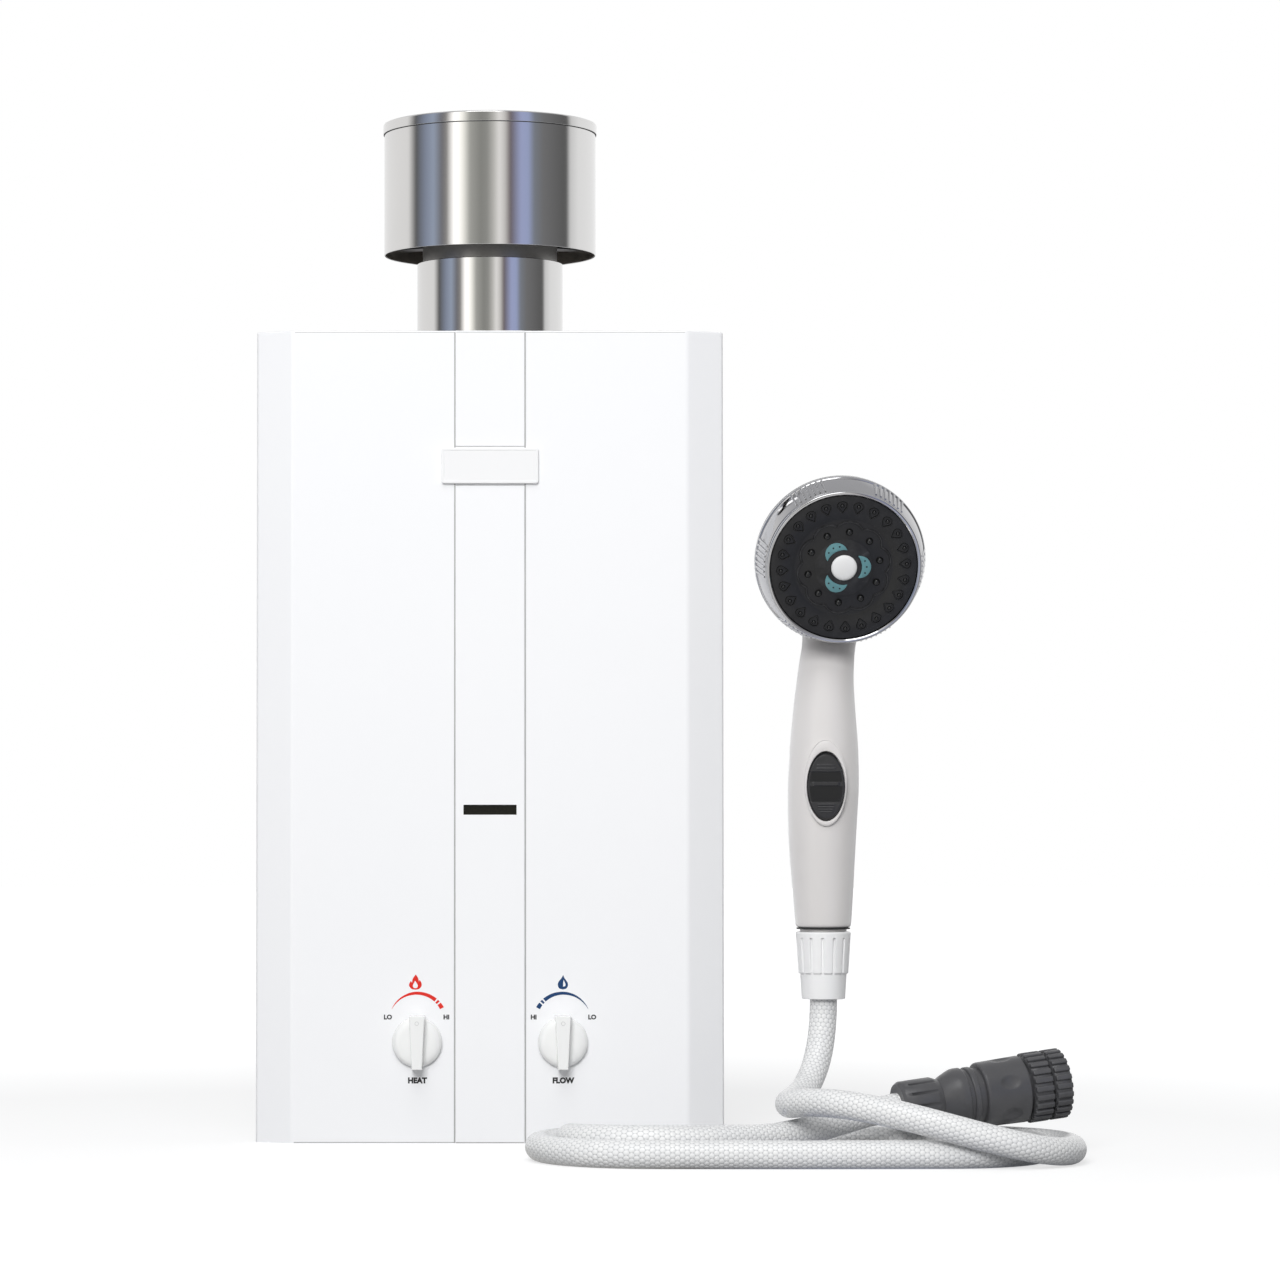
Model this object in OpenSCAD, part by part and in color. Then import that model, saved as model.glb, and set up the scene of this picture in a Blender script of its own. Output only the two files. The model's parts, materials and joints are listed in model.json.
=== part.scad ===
// Portable propane water heater with a hand shower on a coiled hose.
// Frame: origin on the floor at the middle of the casing's footprint, +Z up,
// +X to the right of someone facing the front panel, which looks along -Y.

/* [Casing] */
// Width of the casing
casing_w = 424; // [410:1:460]
// Height of the casing
casing_h = 735; // [715:1:800]
// Depth of the casing
casing_d = 180; // [176:1:220]
// Width of each front chamfer
chamfer_w = 33; // [15:1:50]
// Depth of each front chamfer
chamfer_d = 16; // [8:1:24]
// Thickness of the casing sheet
sheet_t = 1.5; // [0.8:0.1:2.4]
// Height of the recessed base plate above the floor
base_z = 45; // [42:1:52]
// Depth of the back plate's side flanges
flange_d = 24; // [18:1:34]
// Radius of the wall mounting holes
wall_hole_r = 3.5; // [2.5:0.1:5]
// Distance across between the wall mounting holes
wall_hole_w = 350; // [330:1:360]
// Distance up between the wall mounting holes
wall_hole_h = 600; // [560:1:640]
// Shank radius of the cover screws
screw_r = 2; // [1.5:0.1:3]

/* [Front trim] */
// Width of the centre strip
strip_w = 62.5; // [50:0.5:80]
// Thickness of the centre strip
strip_t = 1.2; // [0.6:0.1:3]
// Width of the blank badge plate
badge_w = 88; // [70:1:110]
// Height of the blank badge plate
badge_h = 32.5; // [24:0.5:44]
// Thickness of the blank badge plate
badge_t = 4; // [2:0.5:6]
// Height of the badge plate's middle
badge_z = 612; // [560:1:660]
// Width of the sight slot
slot_w = 48; // [30:1:50]
// Height of the sight slot
slot_h = 9; // [5:0.5:14]
// Height of the sight slot's middle
slot_z = 300.5; // [260:1:320]

/* [Knobs and valves] */
// Diameter of a knob's disc
knob_d = 45; // [36:1:56]
// Distance of each knob from the middle
knob_x = 65.8; // [60:0.2:72]
// Height of the knobs
knob_z = 91; // [86:1:98]
// How far a knob stands out from the panel
knob_depth = 22; // [18:1:30]
// Thickness of a knob's disc
knob_disc_t = 8; // [5:0.5:12]
// Length of a knob's grip bar
grip_len = 49; // [40:1:60]
// Radius of a valve spindle
spindle_r = 3; // [2.5:0.1:4]
// Radius of the water valve's push rod
rod_r = 2.5; // [2:0.1:3.5]
// Travel of the push rod
rod_travel = 3; // [2:0.5:4]

/* [Flue and rain cap] */
// Outer diameter of the flue pipe
flue_d = 134.4; // [110:0.2:140]
// Height of the flue pipe above the casing
flue_rise = 69; // [50:1:110]
// Outer diameter of the inner collar
collar_d = 124; // [90:0.2:126]
// Outer diameter of the cap's drum
drum_d = 195.4; // [170:0.2:200]
// Height of the drum
drum_h = 121.5; // [100:0.5:160]
// Gap between the flue pipe's rim and the drum's lower edge
drum_gap = 8; // [4:0.5:30]
// Height of the lid's lip
lip_h = 9.5; // [6:0.5:16]
// Wall of the flue parts
flue_t = 1; // [0.8:0.1:1.5]
// Distance of the flue's axis behind the middle
flue_y = -10; // [-12:1:0]

/* [Burner and heat exchanger] */
// Width of the combustion shell
chamber_w = 230; // [200:1:236]
// Depth of the combustion shell
chamber_d = 110; // [100:1:116]
// Height of the combustion shell's lower edge
chamber_z = 340; // [330:1:350]
// Room between the combustion shell and the top of the casing
headroom = 83; // [79:1:105]
// Wall of the combustion shell
chamber_t = 1.2; // [0.8:0.1:2]
// Number of burner bars
bar_count = 9; // [6:1:9]
// Width of a burner bar
bar_w = 14; // [10:0.5:16]
// Number of heat exchanger fins
fin_count = 22; // [12:1:30]
// Thickness of a fin
fin_t = 0.8; // [0.5:0.1:1.2]
// Radius of the exchanger tube
tube_r = 8; // [6:0.5:9]
// Distance between the passes of the exchanger tube
pass_pitch = 21; // [20:0.5:22]
// Radius of the water pipes
pipe_r = 7.5; // [6:0.5:9]
// Radius of the gas feed pipe
gas_pipe_r = 7; // [5:0.5:8]

/* [Connections] */
// Outer radius of the water threads
water_thread_r = 13.2; // [10:0.1:14]
// Outer radius of the gas flare thread
gas_thread_r = 7.9; // [6:0.1:10]
// Length of the water threads
thread_l = 24; // [18:1:28]
// Radius of one battery cell
cell_r = 16.7; // [14:0.1:17.5]
// Length of one battery cell
cell_l = 61; // [48:1:64]

/* [Hand shower] */
// Diameter of the hose
hose_d = 24; // [20:0.5:24.4]
// Largest radius of the spray ring
head_r = 75; // [66:0.5:78]
// Depth of the spray ring
head_d = 32; // [24:1:40]
// Radius of the black face plate
face_r = 64.5; // [54:0.5:66]
// Downward tilt of the spray head
head_tilt = 17.5; // [12:0.5:22]
// Turn of the spray head to the right
head_yaw = 3.5; // [0:0.5:8]
// Wall of the handset's shell
shell_t = 3; // [2:0.2:4]
// Width of the rocker switch
rocker_w = 33; // [26:0.5:34]
// Height of the rocker switch
rocker_h = 60.4; // [50:0.5:64]
// Height of the hose nut
nut_h = 59; // [50:1:66]
// Radius of the coupling's barrel
barrel_r = 28.6; // [25:0.2:28.8]
// Length of the coupling
coupling_l = 152; // [150:1:165]

/* [Hidden] */
$fn = 72;

seat = 0.3;          // gap between a piece and what carries it
running = 0.05;      // radial clearance of a shaft in its bearing
cut = 1;             // how far a cutting tool reaches past a face

front_y = -casing_d / 2;
back_y = casing_d / 2;
half_w = casing_w / 2;
inner_back = back_y - sheet_t;
inner_top = casing_h - sheet_t;
plate_top = base_z + sheet_t;
screw_y = back_y - flange_d / 2;
screw_low = 60;                       // height of the lower cover screws
screw_zs = [screw_low, casing_h - screw_low];

// White casing -------------------------------------------------------------

// Outline of the casing seen from above, with every wall moved in by t.
function outline(t, back) = let (
        slope = atan2(chamfer_d, chamfer_w),
        x_side = half_w - t,
        x_front = half_w - chamfer_w - t * tan(slope / 2),
        y_side = front_y + chamfer_d + t * tan((90 - slope) / 2)
    ) [[-x_side, back], [-x_side, y_side], [-x_front, front_y + t],
       [x_front, front_y + t], [x_side, y_side], [x_side, back]];

// Moves a piece drawn outwards along +Z onto the front panel at x, z.
module on_panel(x, z) {
    translate([x, front_y, z]) rotate([90, 0, 0]) children();
}

module front_cover() color("white") difference() {
    linear_extrude(casing_h) polygon(outline(0, back_y));
    translate([0, 0, -cut]) linear_extrude(inner_top + cut) polygon(outline(sheet_t, back_y + cut));
    translate([0, flue_y, inner_top - cut]) cylinder(r = flue_d / 2 + seat, h = sheet_t + 2 * cut);
    translate([-slot_w / 2, front_y - cut, slot_z - slot_h / 2]) cube([slot_w, sheet_t + 2 * cut, slot_h]);
    for (side = [-1, 1]) {
        on_panel(side * knob_x, knob_z) translate([0, 0, -sheet_t - cut])
            cylinder(r = spindle_r + 3, h = sheet_t + 2 * cut);
        for (z = screw_zs) translate([side * half_w, screw_y, z]) rotate([0, 90, 0])
            cylinder(r = screw_r + running, h = 4 * sheet_t, center = true);
    }
}

module back_plate() color("silver") difference() {
    panel_w = 2 * (half_w - sheet_t - seat);
    union() {
        translate([-panel_w / 2, inner_back, 0]) cube([panel_w, sheet_t, inner_top - seat]);
        for (side = [-1, 1]) translate([side * (panel_w - sheet_t) / 2 - sheet_t / 2, back_y - flange_d, 0])
            cube([sheet_t, flange_d, inner_top - seat]);
    }
    for (x = [-1, 1], z = [-1, 1])
        translate([x * wall_hole_w / 2, back_y, casing_h / 2 + z * wall_hole_h / 2]) rotate([90, 0, 0])
            cylinder(r = wall_hole_r, h = 4 * sheet_t, center = true);
    for (side = [-1, 1], z = screw_zs) translate([side * half_w, screw_y, z]) rotate([0, 90, 0])
        cylinder(r = screw_r + running, h = 8 * sheet_t, center = true);
}

module cover_screws() color("gainsboro") for (side = [-1, 1], z = screw_zs)
    translate([side * half_w, screw_y, z]) rotate([0, side * 90, 0]) {
        translate([0, 0, -3 * sheet_t - seat]) cylinder(r = screw_r, h = 3 * sheet_t + seat);
        cylinder(r1 = 2 * screw_r, r2 = 1.5 * screw_r, h = screw_r);
    }

fitting_y = front_y + 40;                     // where gas and cold water enter
hot_x = -150;                                 // where hot water leaves
fitting_hole_r = 12.4;
box_x = -163;                                 // middle of the battery box
box_w = 4 * cell_r + 2 * seat;
box_d = 2 * cell_r + 2 * seat;
box_wall = 2;
box_y = front_y + 34;
hinge_y = box_y + box_d / 2 + box_wall + 2;
hinge_z = base_z - 2.6;
hinge_r = 1.5;
ear_t = 3;
door_w = box_w + 2 * box_wall;
flange_room = 2 * sheet_t + 2 * seat;         // room for the casing wall and a back flange at each side

module base_plate() color("silver") {
    difference() {
        translate([0, 0, base_z]) linear_extrude(sheet_t) polygon(outline(sheet_t + seat, inner_back - seat));
        for (x = [-knob_x, knob_x]) translate([x, fitting_y, base_z - cut])
            cylinder(r = fitting_hole_r, h = sheet_t + 2 * cut);
        translate([hot_x, hot_y, base_z - cut]) cylinder(r = fitting_hole_r, h = sheet_t + 2 * cut);
        translate([box_x - box_w / 2, box_y - box_d / 2, base_z - cut]) cube([box_w, box_d, sheet_t + 2 * cut]);
        for (side = [-1, 1]) translate([side * half_w - flange_room, back_y - flange_d - seat, base_z - cut])
            cube([2 * flange_room, flange_d, sheet_t + 2 * cut]);
    }
    for (side = [-1, 1]) difference() {
        translate([box_x + side * (door_w / 2 + seat + ear_t / 2) - ear_t / 2, hinge_y - 3, hinge_z - 3])
            cube([ear_t, 6, base_z - hinge_z + 3]);
        translate([box_x, hinge_y, hinge_z]) rotate([0, 90, 0])
            cylinder(r = hinge_r + running, h = 2 * door_w, center = true, $fn = 36);
    }
}

// Front trim ---------------------------------------------------------------

strip_gap = badge_h + 3.5;                    // gap behind the badge between the two strips

module strip(z0, z1) translate([-strip_w / 2, front_y - strip_t, z0]) cube([strip_w, strip_t, z1 - z0]);

module trim_strip_upper() color("white") strip(badge_z + strip_gap / 2, casing_h);

module trim_strip_lower() color("white") difference() {
    strip(0, badge_z - strip_gap / 2);
    translate([-slot_w / 2, front_y - 2 * strip_t, slot_z - slot_h / 2]) cube([slot_w, 3 * strip_t, slot_h]);
}

module badge_plate() color("white") {
    corner = 2.5;
    on_panel(0, badge_z) {
        translate([-badge_w / 2 + corner, -badge_h / 2, 0]) cube([badge_w - 2 * corner, badge_h, badge_t]);
        translate([-badge_w / 2, -badge_h / 2 + corner, 0]) cube([badge_w, badge_h - 2 * corner, badge_t]);
        for (x = [-1, 1], z = [-1, 1])
            translate([x * (badge_w / 2 - corner), z * (badge_h / 2 - corner), 0]) cylinder(r = corner, h = badge_t);
    }
}

module sight_glass() color("darkolivegreen")
    translate([-slot_w / 2 - 5, front_y + sheet_t + seat, slot_z - slot_h / 2 - 5])
        cube([slot_w + 10, 2, slot_h + 10]);

// Flue and rain cap --------------------------------------------------------

flue_top = casing_h + flue_rise;
drum_z = flue_top + drum_gap;
drum_top = drum_z + drum_h;
hood_step = casing_h - 25;                    // where the flue pipe stands on the draft hood
hood_r = flue_d / 2 - flue_t - seat;
strap_z = drum_z + 10;

module tube(r, t, h) difference() {
    cylinder(r = r, h = h);
    translate([0, 0, -cut]) cylinder(r = r - t, h = h + 2 * cut);
}

module flue_pipe() color("silver")
    translate([0, flue_y, hood_step + seat]) tube(flue_d / 2, flue_t, flue_top - hood_step - seat);

module cap_collar() color("silver") translate([0, flue_y, 0]) {
    translate([0, 0, flue_top - 30]) tube(collar_d / 2, flue_t, drum_z - flue_top + 30 + 38);
    translate([0, 0, flue_top - 6]) tube(flue_d / 2 - flue_t - seat, (flue_d - collar_d) / 2 - seat, 4);
}

module cap_brackets() color("dimgray") translate([0, flue_y, strap_z]) {
    inner = collar_d / 2 + seat;
    outer = drum_d / 2 - flue_t - seat;
    for (turn = [30, 150, 270]) rotate(turn) intersection() {
        translate([0, -9, 0]) cube([outer, 18, 14]);
        difference() {
            cylinder(r = outer, h = 14);
            translate([0, 0, -cut]) cylinder(r = inner, h = 14 + 2 * cut);
            translate([0, 0, 1.5]) cylinder(r = outer - 2, h = 14);
        }
    }
}

module cap_drum() color("silver")
    translate([0, flue_y, drum_z]) tube(drum_d / 2, flue_t, drum_h - flue_t - seat);

module cap_lid() color("silver") translate([0, flue_y, drum_top - lip_h]) {
    lip_r = drum_d / 2 + seat + 0.7;
    tube(lip_r, 0.7, lip_h);
    translate([0, 0, lip_h - flue_t]) cylinder(r = lip_r - 0.35, h = flue_t);
}

// Burner and heat exchanger ------------------------------------------------

chamber_y = front_y + 99;                     // middle of the combustion shell
chamber_front = chamber_y - chamber_d / 2;
chamber_top = casing_h - headroom;
chamber_h = chamber_top - chamber_z;
chamber_tab = 24;                             // width of the tabs that carry the combustion shell
tab_xs = [-1, 1] * (chamber_w / 2 - 30);
pass_z = chamber_top - 26;                    // height of the exchanger tube's passes
pass_ys = [for (i = [-2:2]) chamber_y + i * pass_pitch];
cold_y = pass_ys[0];
hot_y = pass_ys[4];
bend_x = chamber_w / 2 + 6;                   // where the passes turn back
fin_h = 46;
fin_pitch = (chamber_w - 20) / (fin_count - 1);
jet_z = chamber_z + 12;
rail_y = front_y + 30;
rail_size = 15;
electrode_z = chamber_z + 62;
electrode_r = 4;
thermostat_z = chamber_z + chamber_h * 2 / 3;
thermostat_r = 10;
front_gap = 22;                               // from the electrodes' outer ends to the shell

module combustion_shell() color("peru") difference() {
    union() {
        translate([-chamber_w / 2, chamber_front, chamber_z]) cube([chamber_w, chamber_d, chamber_h]);
        for (x = tab_xs, z = [chamber_z + chamber_tab, chamber_top - chamber_h / 3])
            translate([x - chamber_tab / 2, chamber_y, z])
                cube([chamber_tab, inner_back - seat - chamber_y, 2]);
    }
    translate([-chamber_w / 2 + chamber_t, chamber_front + chamber_t, chamber_z - cut])
        cube([chamber_w - 2 * chamber_t, chamber_d - 2 * chamber_t, chamber_h + 2 * cut]);
    translate([-chamber_w / 2 + 6, chamber_front - cut, chamber_z + 2]) cube([chamber_w - 12, 2 * cut + chamber_t, 20]);
    for (y = pass_ys) translate([0, y, pass_z]) rotate([0, 90, 0])
        cylinder(r = tube_r + seat, h = chamber_w + 2 * cut, center = true);
    for (x = [-20, 20]) translate([x, chamber_front, electrode_z]) rotate([90, 0, 0])
        cylinder(r = electrode_r + seat, h = 4 * chamber_t, center = true);
}

module exchanger_fins() color("chocolate") difference() {
    for (i = [0:fin_count - 1])
        translate([-(fin_count - 1) / 2 * fin_pitch + i * fin_pitch - fin_t / 2,
                   chamber_front + chamber_t + seat, pass_z - fin_h / 2])
            cube([fin_t, chamber_d - 2 * chamber_t - 2 * seat, fin_h]);
    for (y = pass_ys) translate([0, y, pass_z]) rotate([0, 90, 0])
        cylinder(r = tube_r, h = chamber_w, center = true, $fn = 36);
}

// The whole winding exchanger tube, with radius r.
module tube_run(r) {
    for (y = pass_ys) translate([0, y, pass_z]) rotate([0, 90, 0])
        cylinder(r = r, h = 2 * bend_x, center = true, $fn = 36);
    for (i = [0:3]) let (side = i % 2 == 0 ? -1 : 1)
        translate([side * bend_x, (pass_ys[i] + pass_ys[i + 1]) / 2, pass_z]) rotate(-side * 90)
            rotate_extrude(angle = 180, $fn = 36) translate([pass_pitch / 2, 0]) circle(r = r);
}

module exchanger_tube() color("sienna") difference() {
    tube_run(tube_r);
    translate([bend_x - 20, cold_y, pass_z]) rotate([0, 90, 0]) cylinder(r = tube_r - 1, h = 20 + cut);
    translate([-bend_x + 20, hot_y, pass_z]) rotate([0, -90, 0]) cylinder(r = tube_r - 1, h = 20 + cut);
}

module burner_bars() color("lightsteelblue") {
    pitch = (chamber_w - 14) / bar_count;
    for (i = [0:bar_count - 1]) translate([(i - (bar_count - 1) / 2) * pitch, 0, 0]) difference() {
        translate([-bar_w / 2, chamber_front + chamber_t + seat, chamber_z + 4])
            cube([bar_w, chamber_d - 2 * chamber_t - 2 * seat, 40]);
        translate([0, chamber_front, jet_z]) rotate([-90, 0, 0]) cylinder(r = bar_w / 2 - 2, h = 60, $fn = 24);
        for (k = [0:10]) translate([-1, chamber_front + 8 + k * 9, chamber_z + 40]) cube([2, 5, 8]);
    }
}

module gas_rail() color("goldenrod") {
    pitch = (chamber_w - 14) / bar_count;
    rail_l = bar_count * pitch;
    translate([-rail_l / 2, rail_y - rail_size / 2, jet_z - rail_size / 2]) cube([rail_l, rail_size, rail_size]);
    for (i = [0:bar_count - 1]) translate([(i - (bar_count - 1) / 2) * pitch, rail_y, jet_z]) rotate([-90, 0, 0])
        cylinder(r = 2.5, h = chamber_front - rail_y + 1, $fn = 24);
    translate([-knob_x, rail_y, valve_top]) cylinder(r = gas_pipe_r, h = jet_z - valve_top);
    for (side = [-1, 1]) translate([side * (rail_l / 2 - 8) - 6, rail_y + rail_size / 2 - 1, jet_z + rail_size / 2 - 2])
        cube([12, chamber_front - rail_y - rail_size / 2 + 1, 2]);
}

module draft_hood() color("silver") difference() {
    union() {
        hull() {
            translate([-chamber_w / 2, chamber_front, chamber_top + seat]) cube([chamber_w, chamber_d, 8]);
            translate([0, flue_y, hood_step - 6]) cylinder(r = hood_r, h = 6, $fn = 32);
        }
        translate([0, flue_y, hood_step - 4]) cylinder(r = flue_d / 2, h = 4);
        translate([0, flue_y, hood_step - 4]) cylinder(r = hood_r, h = 20);
    }
    hull() {
        translate([-chamber_w / 2 + chamber_t, chamber_front + chamber_t, chamber_top - cut])
            cube([chamber_w - 2 * chamber_t, chamber_d - 2 * chamber_t, 8]);
        translate([0, flue_y, hood_step - 7]) cylinder(r = hood_r - flue_t, h = 6, $fn = 32);
    }
    translate([0, flue_y, hood_step - 8]) cylinder(r = hood_r - flue_t, h = 40);
}

module igniter_electrodes() color("whitesmoke") for (x = [-20, 20])
    translate([x, chamber_front - front_gap, electrode_z]) rotate([-90, 0, 0]) {
        cylinder(r = electrode_r, h = front_gap + 10, $fn = 32);
        cylinder(r = 1, h = 2 * front_gap + 2, $fn = 24);
    }

module overheat_thermostat() color("dimgray")
    translate([-chamber_w / 2 - seat, chamber_y, thermostat_z]) rotate([0, -90, 0]) {
        cylinder(r = thermostat_r, h = 2);
        cylinder(r = thermostat_r - 2, h = 9);
    }

control_w = 86;
control_d = 34;
control_h = 92;
module control_box() color("darkslategray")
    translate([half_w - 26 - control_w, inner_back - control_d - seat, slot_z - 28 - control_h])
        cube([control_w, control_d, control_h]);

// Valves -------------------------------------------------------------------

valve_half = 25;                              // half height of the valve bodies
valve_top = knob_z + valve_half;
valve_low = knob_z - valve_half;
valve_front = front_y + 12;
valve_d = 56;
gas_half = 30;                                // half width of the gas valve
water_half = 26;                              // half width of the water valve
rod_y = front_y + 45;
flange_x = knob_x - water_half - 13;          // left face of the water valve's flange
cover_x = flange_x - 14;                      // left face of the diaphragm cover
flange_r = valve_half - 0.5;
spindle_end = 34;                             // how far a spindle reaches behind the panel
rod_left = -knob_x + gas_half - 10;
rod_right = flange_x + 7;
bridge_t = 1.5;

module spindle_bore() translate([0, 0, -spindle_end - 1])
    cylinder(r = spindle_r + running, h = spindle_end + 1);

module gas_valve_body() color("darkkhaki") difference() {
    translate([-knob_x - gas_half, valve_front, valve_low]) cube([2 * gas_half, valve_d, 2 * valve_half]);
    on_panel(-knob_x, knob_z) spindle_bore();
    translate([rod_left - rod_travel - 1, rod_y, knob_z]) rotate([0, 90, 0])
        cylinder(r = rod_r + running, h = 60);
}

module water_valve_body() color("darkkhaki") difference() {
    union() {
        translate([knob_x - water_half, valve_front, valve_low]) cube([2 * water_half, valve_d, 2 * valve_half]);
        translate([flange_x, rod_y, knob_z]) rotate([0, 90, 0]) cylinder(r = flange_r, h = 14);
    }
    on_panel(knob_x, knob_z) spindle_bore();
    translate([flange_x - cut, rod_y, knob_z]) rotate([0, 90, 0])
        cylinder(r = rod_r + running, h = rod_right - flange_x + 1 + cut);
}

module diaphragm_cover() color("goldenrod") difference() {
    translate([cover_x, rod_y, knob_z]) rotate([0, 90, 0]) union() {
        cylinder(r1 = flange_r - 8, r2 = flange_r, h = 8);
        translate([0, 0, 8]) cylinder(r = flange_r, h = flange_x - cover_x - 8);
    }
    translate([cover_x - cut, rod_y, knob_z]) rotate([0, 90, 0])
        cylinder(r = rod_r + running, h = flange_x - cover_x + 2 * cut);
}

module push_rod() color("silver") {
    translate([rod_left, rod_y, knob_z]) rotate([0, 90, 0]) cylinder(r = rod_r, h = rod_right - rod_left);
    translate([cover_x - 9, rod_y, knob_z]) rotate([0, 90, 0]) cylinder(r = rod_r + 3.5, h = 2);
}

module valve_bridge() color("silver") difference() {
    translate([-knob_x - gas_half, valve_front + 2, valve_top]) cube([2 * knob_x + gas_half + water_half, valve_d - 4, bridge_t]);
    translate([-knob_x, rail_y, valve_top - cut]) cylinder(r = gas_pipe_r + seat, h = bridge_t + 2 * cut);
}

module micro_switch() color("black") {
    translate([cover_x - 34, rod_y - 5, valve_top - 15 - seat]) cube([26, 10, 15]);
    translate([cover_x - 30, rod_y - 2, knob_z + rod_r + 5]) cube([18, 4, valve_half - 20 - rod_r + seat]);
}

module spindle() translate([0, 0, -spindle_end]) cylinder(r = spindle_r, h = spindle_end + knob_depth - 8);
module gas_spindle() color("silver") on_panel(-knob_x, knob_z) spindle();
module water_spindle() color("silver") on_panel(knob_x, knob_z) spindle();

module knob() difference() {
    gap = 1;
    r = knob_d / 2;
    union() {
        rotate_extrude() polygon([[0, gap], [r, gap], [r, gap + knob_disc_t * 0.55],
            [r - 1, gap + knob_disc_t * 0.8], [r - 3.5, gap + knob_disc_t], [0, gap + knob_disc_t]]);
        translate([0, 0, gap + 2]) linear_extrude(knob_depth - gap - 2)
            polygon([[-7.2, grip_len / 2], [7.2, grip_len / 2], [4.6, -grip_len / 2], [-4.6, -grip_len / 2]]);
    }
    cylinder(r = spindle_r, h = knob_depth - 8);
}
module gas_knob() color("whitesmoke") on_panel(-knob_x, knob_z) knob();
module water_knob() color("whitesmoke") on_panel(knob_x, knob_z) knob();

// Pipes and fittings -------------------------------------------------------

function unit(v) = v / norm(v);

// Pipe of radius r through right-angled corners in the XZ plane, at depth y.
module flat_pipe(points, y, r, bend) translate([0, y, 0]) rotate([90, 0, 0]) {
    last = len(points) - 1;
    for (i = [1:last]) {
        way = unit(points[i] - points[i - 1]);
        from = points[i - 1] + way * (i > 1 ? bend : 0);
        to = points[i] - way * (i < last ? bend : 0);
        translate([from[0], from[1], 0]) rotate(atan2(way[1], way[0])) rotate([0, 90, 0])
            cylinder(r = r, h = norm(to - from), $fn = 36);
    }
    for (i = [1:last - 1]) {
        a = unit(points[i] - points[i - 1]);
        b = unit(points[i + 1] - points[i]);
        centre = points[i] - a * bend + b * bend;
        start = a[0] * b[1] - a[1] * b[0] > 0 ? atan2(-b[1], -b[0]) : atan2(a[1], a[0]);
        translate([centre[0], centre[1], 0]) rotate(start)
            rotate_extrude(angle = 90, $fn = 36) translate([bend, 0]) circle(r = r);
    }
}

riser_x = 150;                                // distance of the risers from the middle
fitting_top = plate_top + 16;

module cold_pipe() color("sienna") flat_pipe([[knob_x + water_half, knob_z], [riser_x, knob_z],
    [riser_x, pass_z], [bend_x + seat, pass_z]], cold_y, pipe_r, 20);

module hot_pipe() color("sienna") flat_pipe([[-bend_x - seat, pass_z], [hot_x, pass_z],
    [hot_x, fitting_top]], hot_y, pipe_r, 20);

// Threaded stub below the base plate, a hexagon under it and a neck up to top.
module fitting(thread_r, thread_len, bore_r, top) difference() {
    hex_t = 9;
    union() {
        translate([0, 0, base_z - hex_t - thread_len]) cylinder(r = thread_r, h = thread_len);
        translate([0, 0, base_z - hex_t]) cylinder(r = water_thread_r + 4.5, h = hex_t, $fn = 6);
        translate([0, 0, base_z - 1]) cylinder(r = fitting_hole_r - seat, h = top - base_z + 1);
    }
    translate([0, 0, base_z - hex_t - thread_len - cut]) cylinder(r = bore_r, h = hex_t + thread_len);
}

module gas_inlet_fitting() color("gold") translate([-knob_x, fitting_y, 0])
    fitting(gas_thread_r, thread_l - 6, 4, valve_low);

module cold_inlet_fitting() color("gold") translate([knob_x, fitting_y, 0])
    fitting(water_thread_r, thread_l, 9, valve_low);

module hot_outlet_fitting() color("gold") translate([hot_x, hot_y, 0])
    fitting(water_thread_r, thread_l, 9, fitting_top);

// Battery compartment ------------------------------------------------------

module battery_box() color("black") difference() {
    height = cell_l + 4;
    translate([box_x - box_w / 2 - box_wall, box_y - box_d / 2 - box_wall, plate_top])
        cube([box_w + 2 * box_wall, box_d + 2 * box_wall, height + box_wall]);
    translate([box_x - box_w / 2, box_y - box_d / 2, plate_top - cut]) cube([box_w, box_d, height + cut]);
}

module batteries() color("olivedrab") for (side = [-1, 1])
    translate([box_x + side * cell_r, box_y, plate_top + 1.5]) {
        cylinder(r = cell_r - 0.05, h = cell_l - 2);
        translate([0, 0, cell_l - 2]) cylinder(r = cell_r / 3, h = 2);
    }

module battery_door() color("black") {
    door_l = hinge_y - box_y + box_d / 2 + box_wall;
    translate([box_x - door_w / 2, hinge_y - door_l, hinge_z - 1]) cube([door_w, door_l, 2]);
    translate([box_x, hinge_y, hinge_z]) rotate([0, 90, 0])
        cylinder(r = hinge_r, h = door_w + 2 * ear_t, center = true, $fn = 36);
    translate([box_x - box_w / 2 + 1, box_y - box_d / 2 + 1, hinge_z]) cube([2, box_d - 2, base_z - hinge_z + sheet_t]);
    translate([box_x + box_w / 2 - 3, box_y - box_d / 2 + 1, hinge_z]) cube([2, box_d - 2, base_z - hinge_z + sheet_t]);
}

// Hand shower --------------------------------------------------------------

handset_x = 293;
handset_y = -205;
nut_z = 134.5;                                // lower face of the hose nut
nut_top = nut_z + nut_h;
handle_z = nut_top + 3.6;                     // lower edge of the handle
nut_r = 24.2;
hose_r = hose_d / 2;
ferrule_r = hose_r - 0.2;
stub_r = 15.4;
head_at = [305.5, -236, 520.5];               // middle of the spray ring's rear face
rocker_z = 321;
tube_top = rocker_z + 78;                     // upper end of the tube inside the handle

// Height, middle x, middle y, half width and half depth of the handle.
handle = [
    [handle_z, 293, -205, 24.4, 24], [228, 292.7, -205, 26.6, 26.6], [265, 292.2, -205, 29.1, 29.2],
    [300, 292.7, -205, 30.7, 30.4], [324, 293.4, -205, 31.2, 30.5], [357, 294, -204, 30, 29.4],
    [387, 294.4, -202, 27.6, 27.8], [412, 295.4, -199, 25.4, 25.8], [432, 297.4, -194.5, 24.2, 24],
    [446, 299.6, -189.5, 23.8, 22.6], [464, 302, -187, 25.5, 19.5], [486, 304, -193, 27, 17],
    [508, 305, -204, 22, 13]
];

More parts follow.
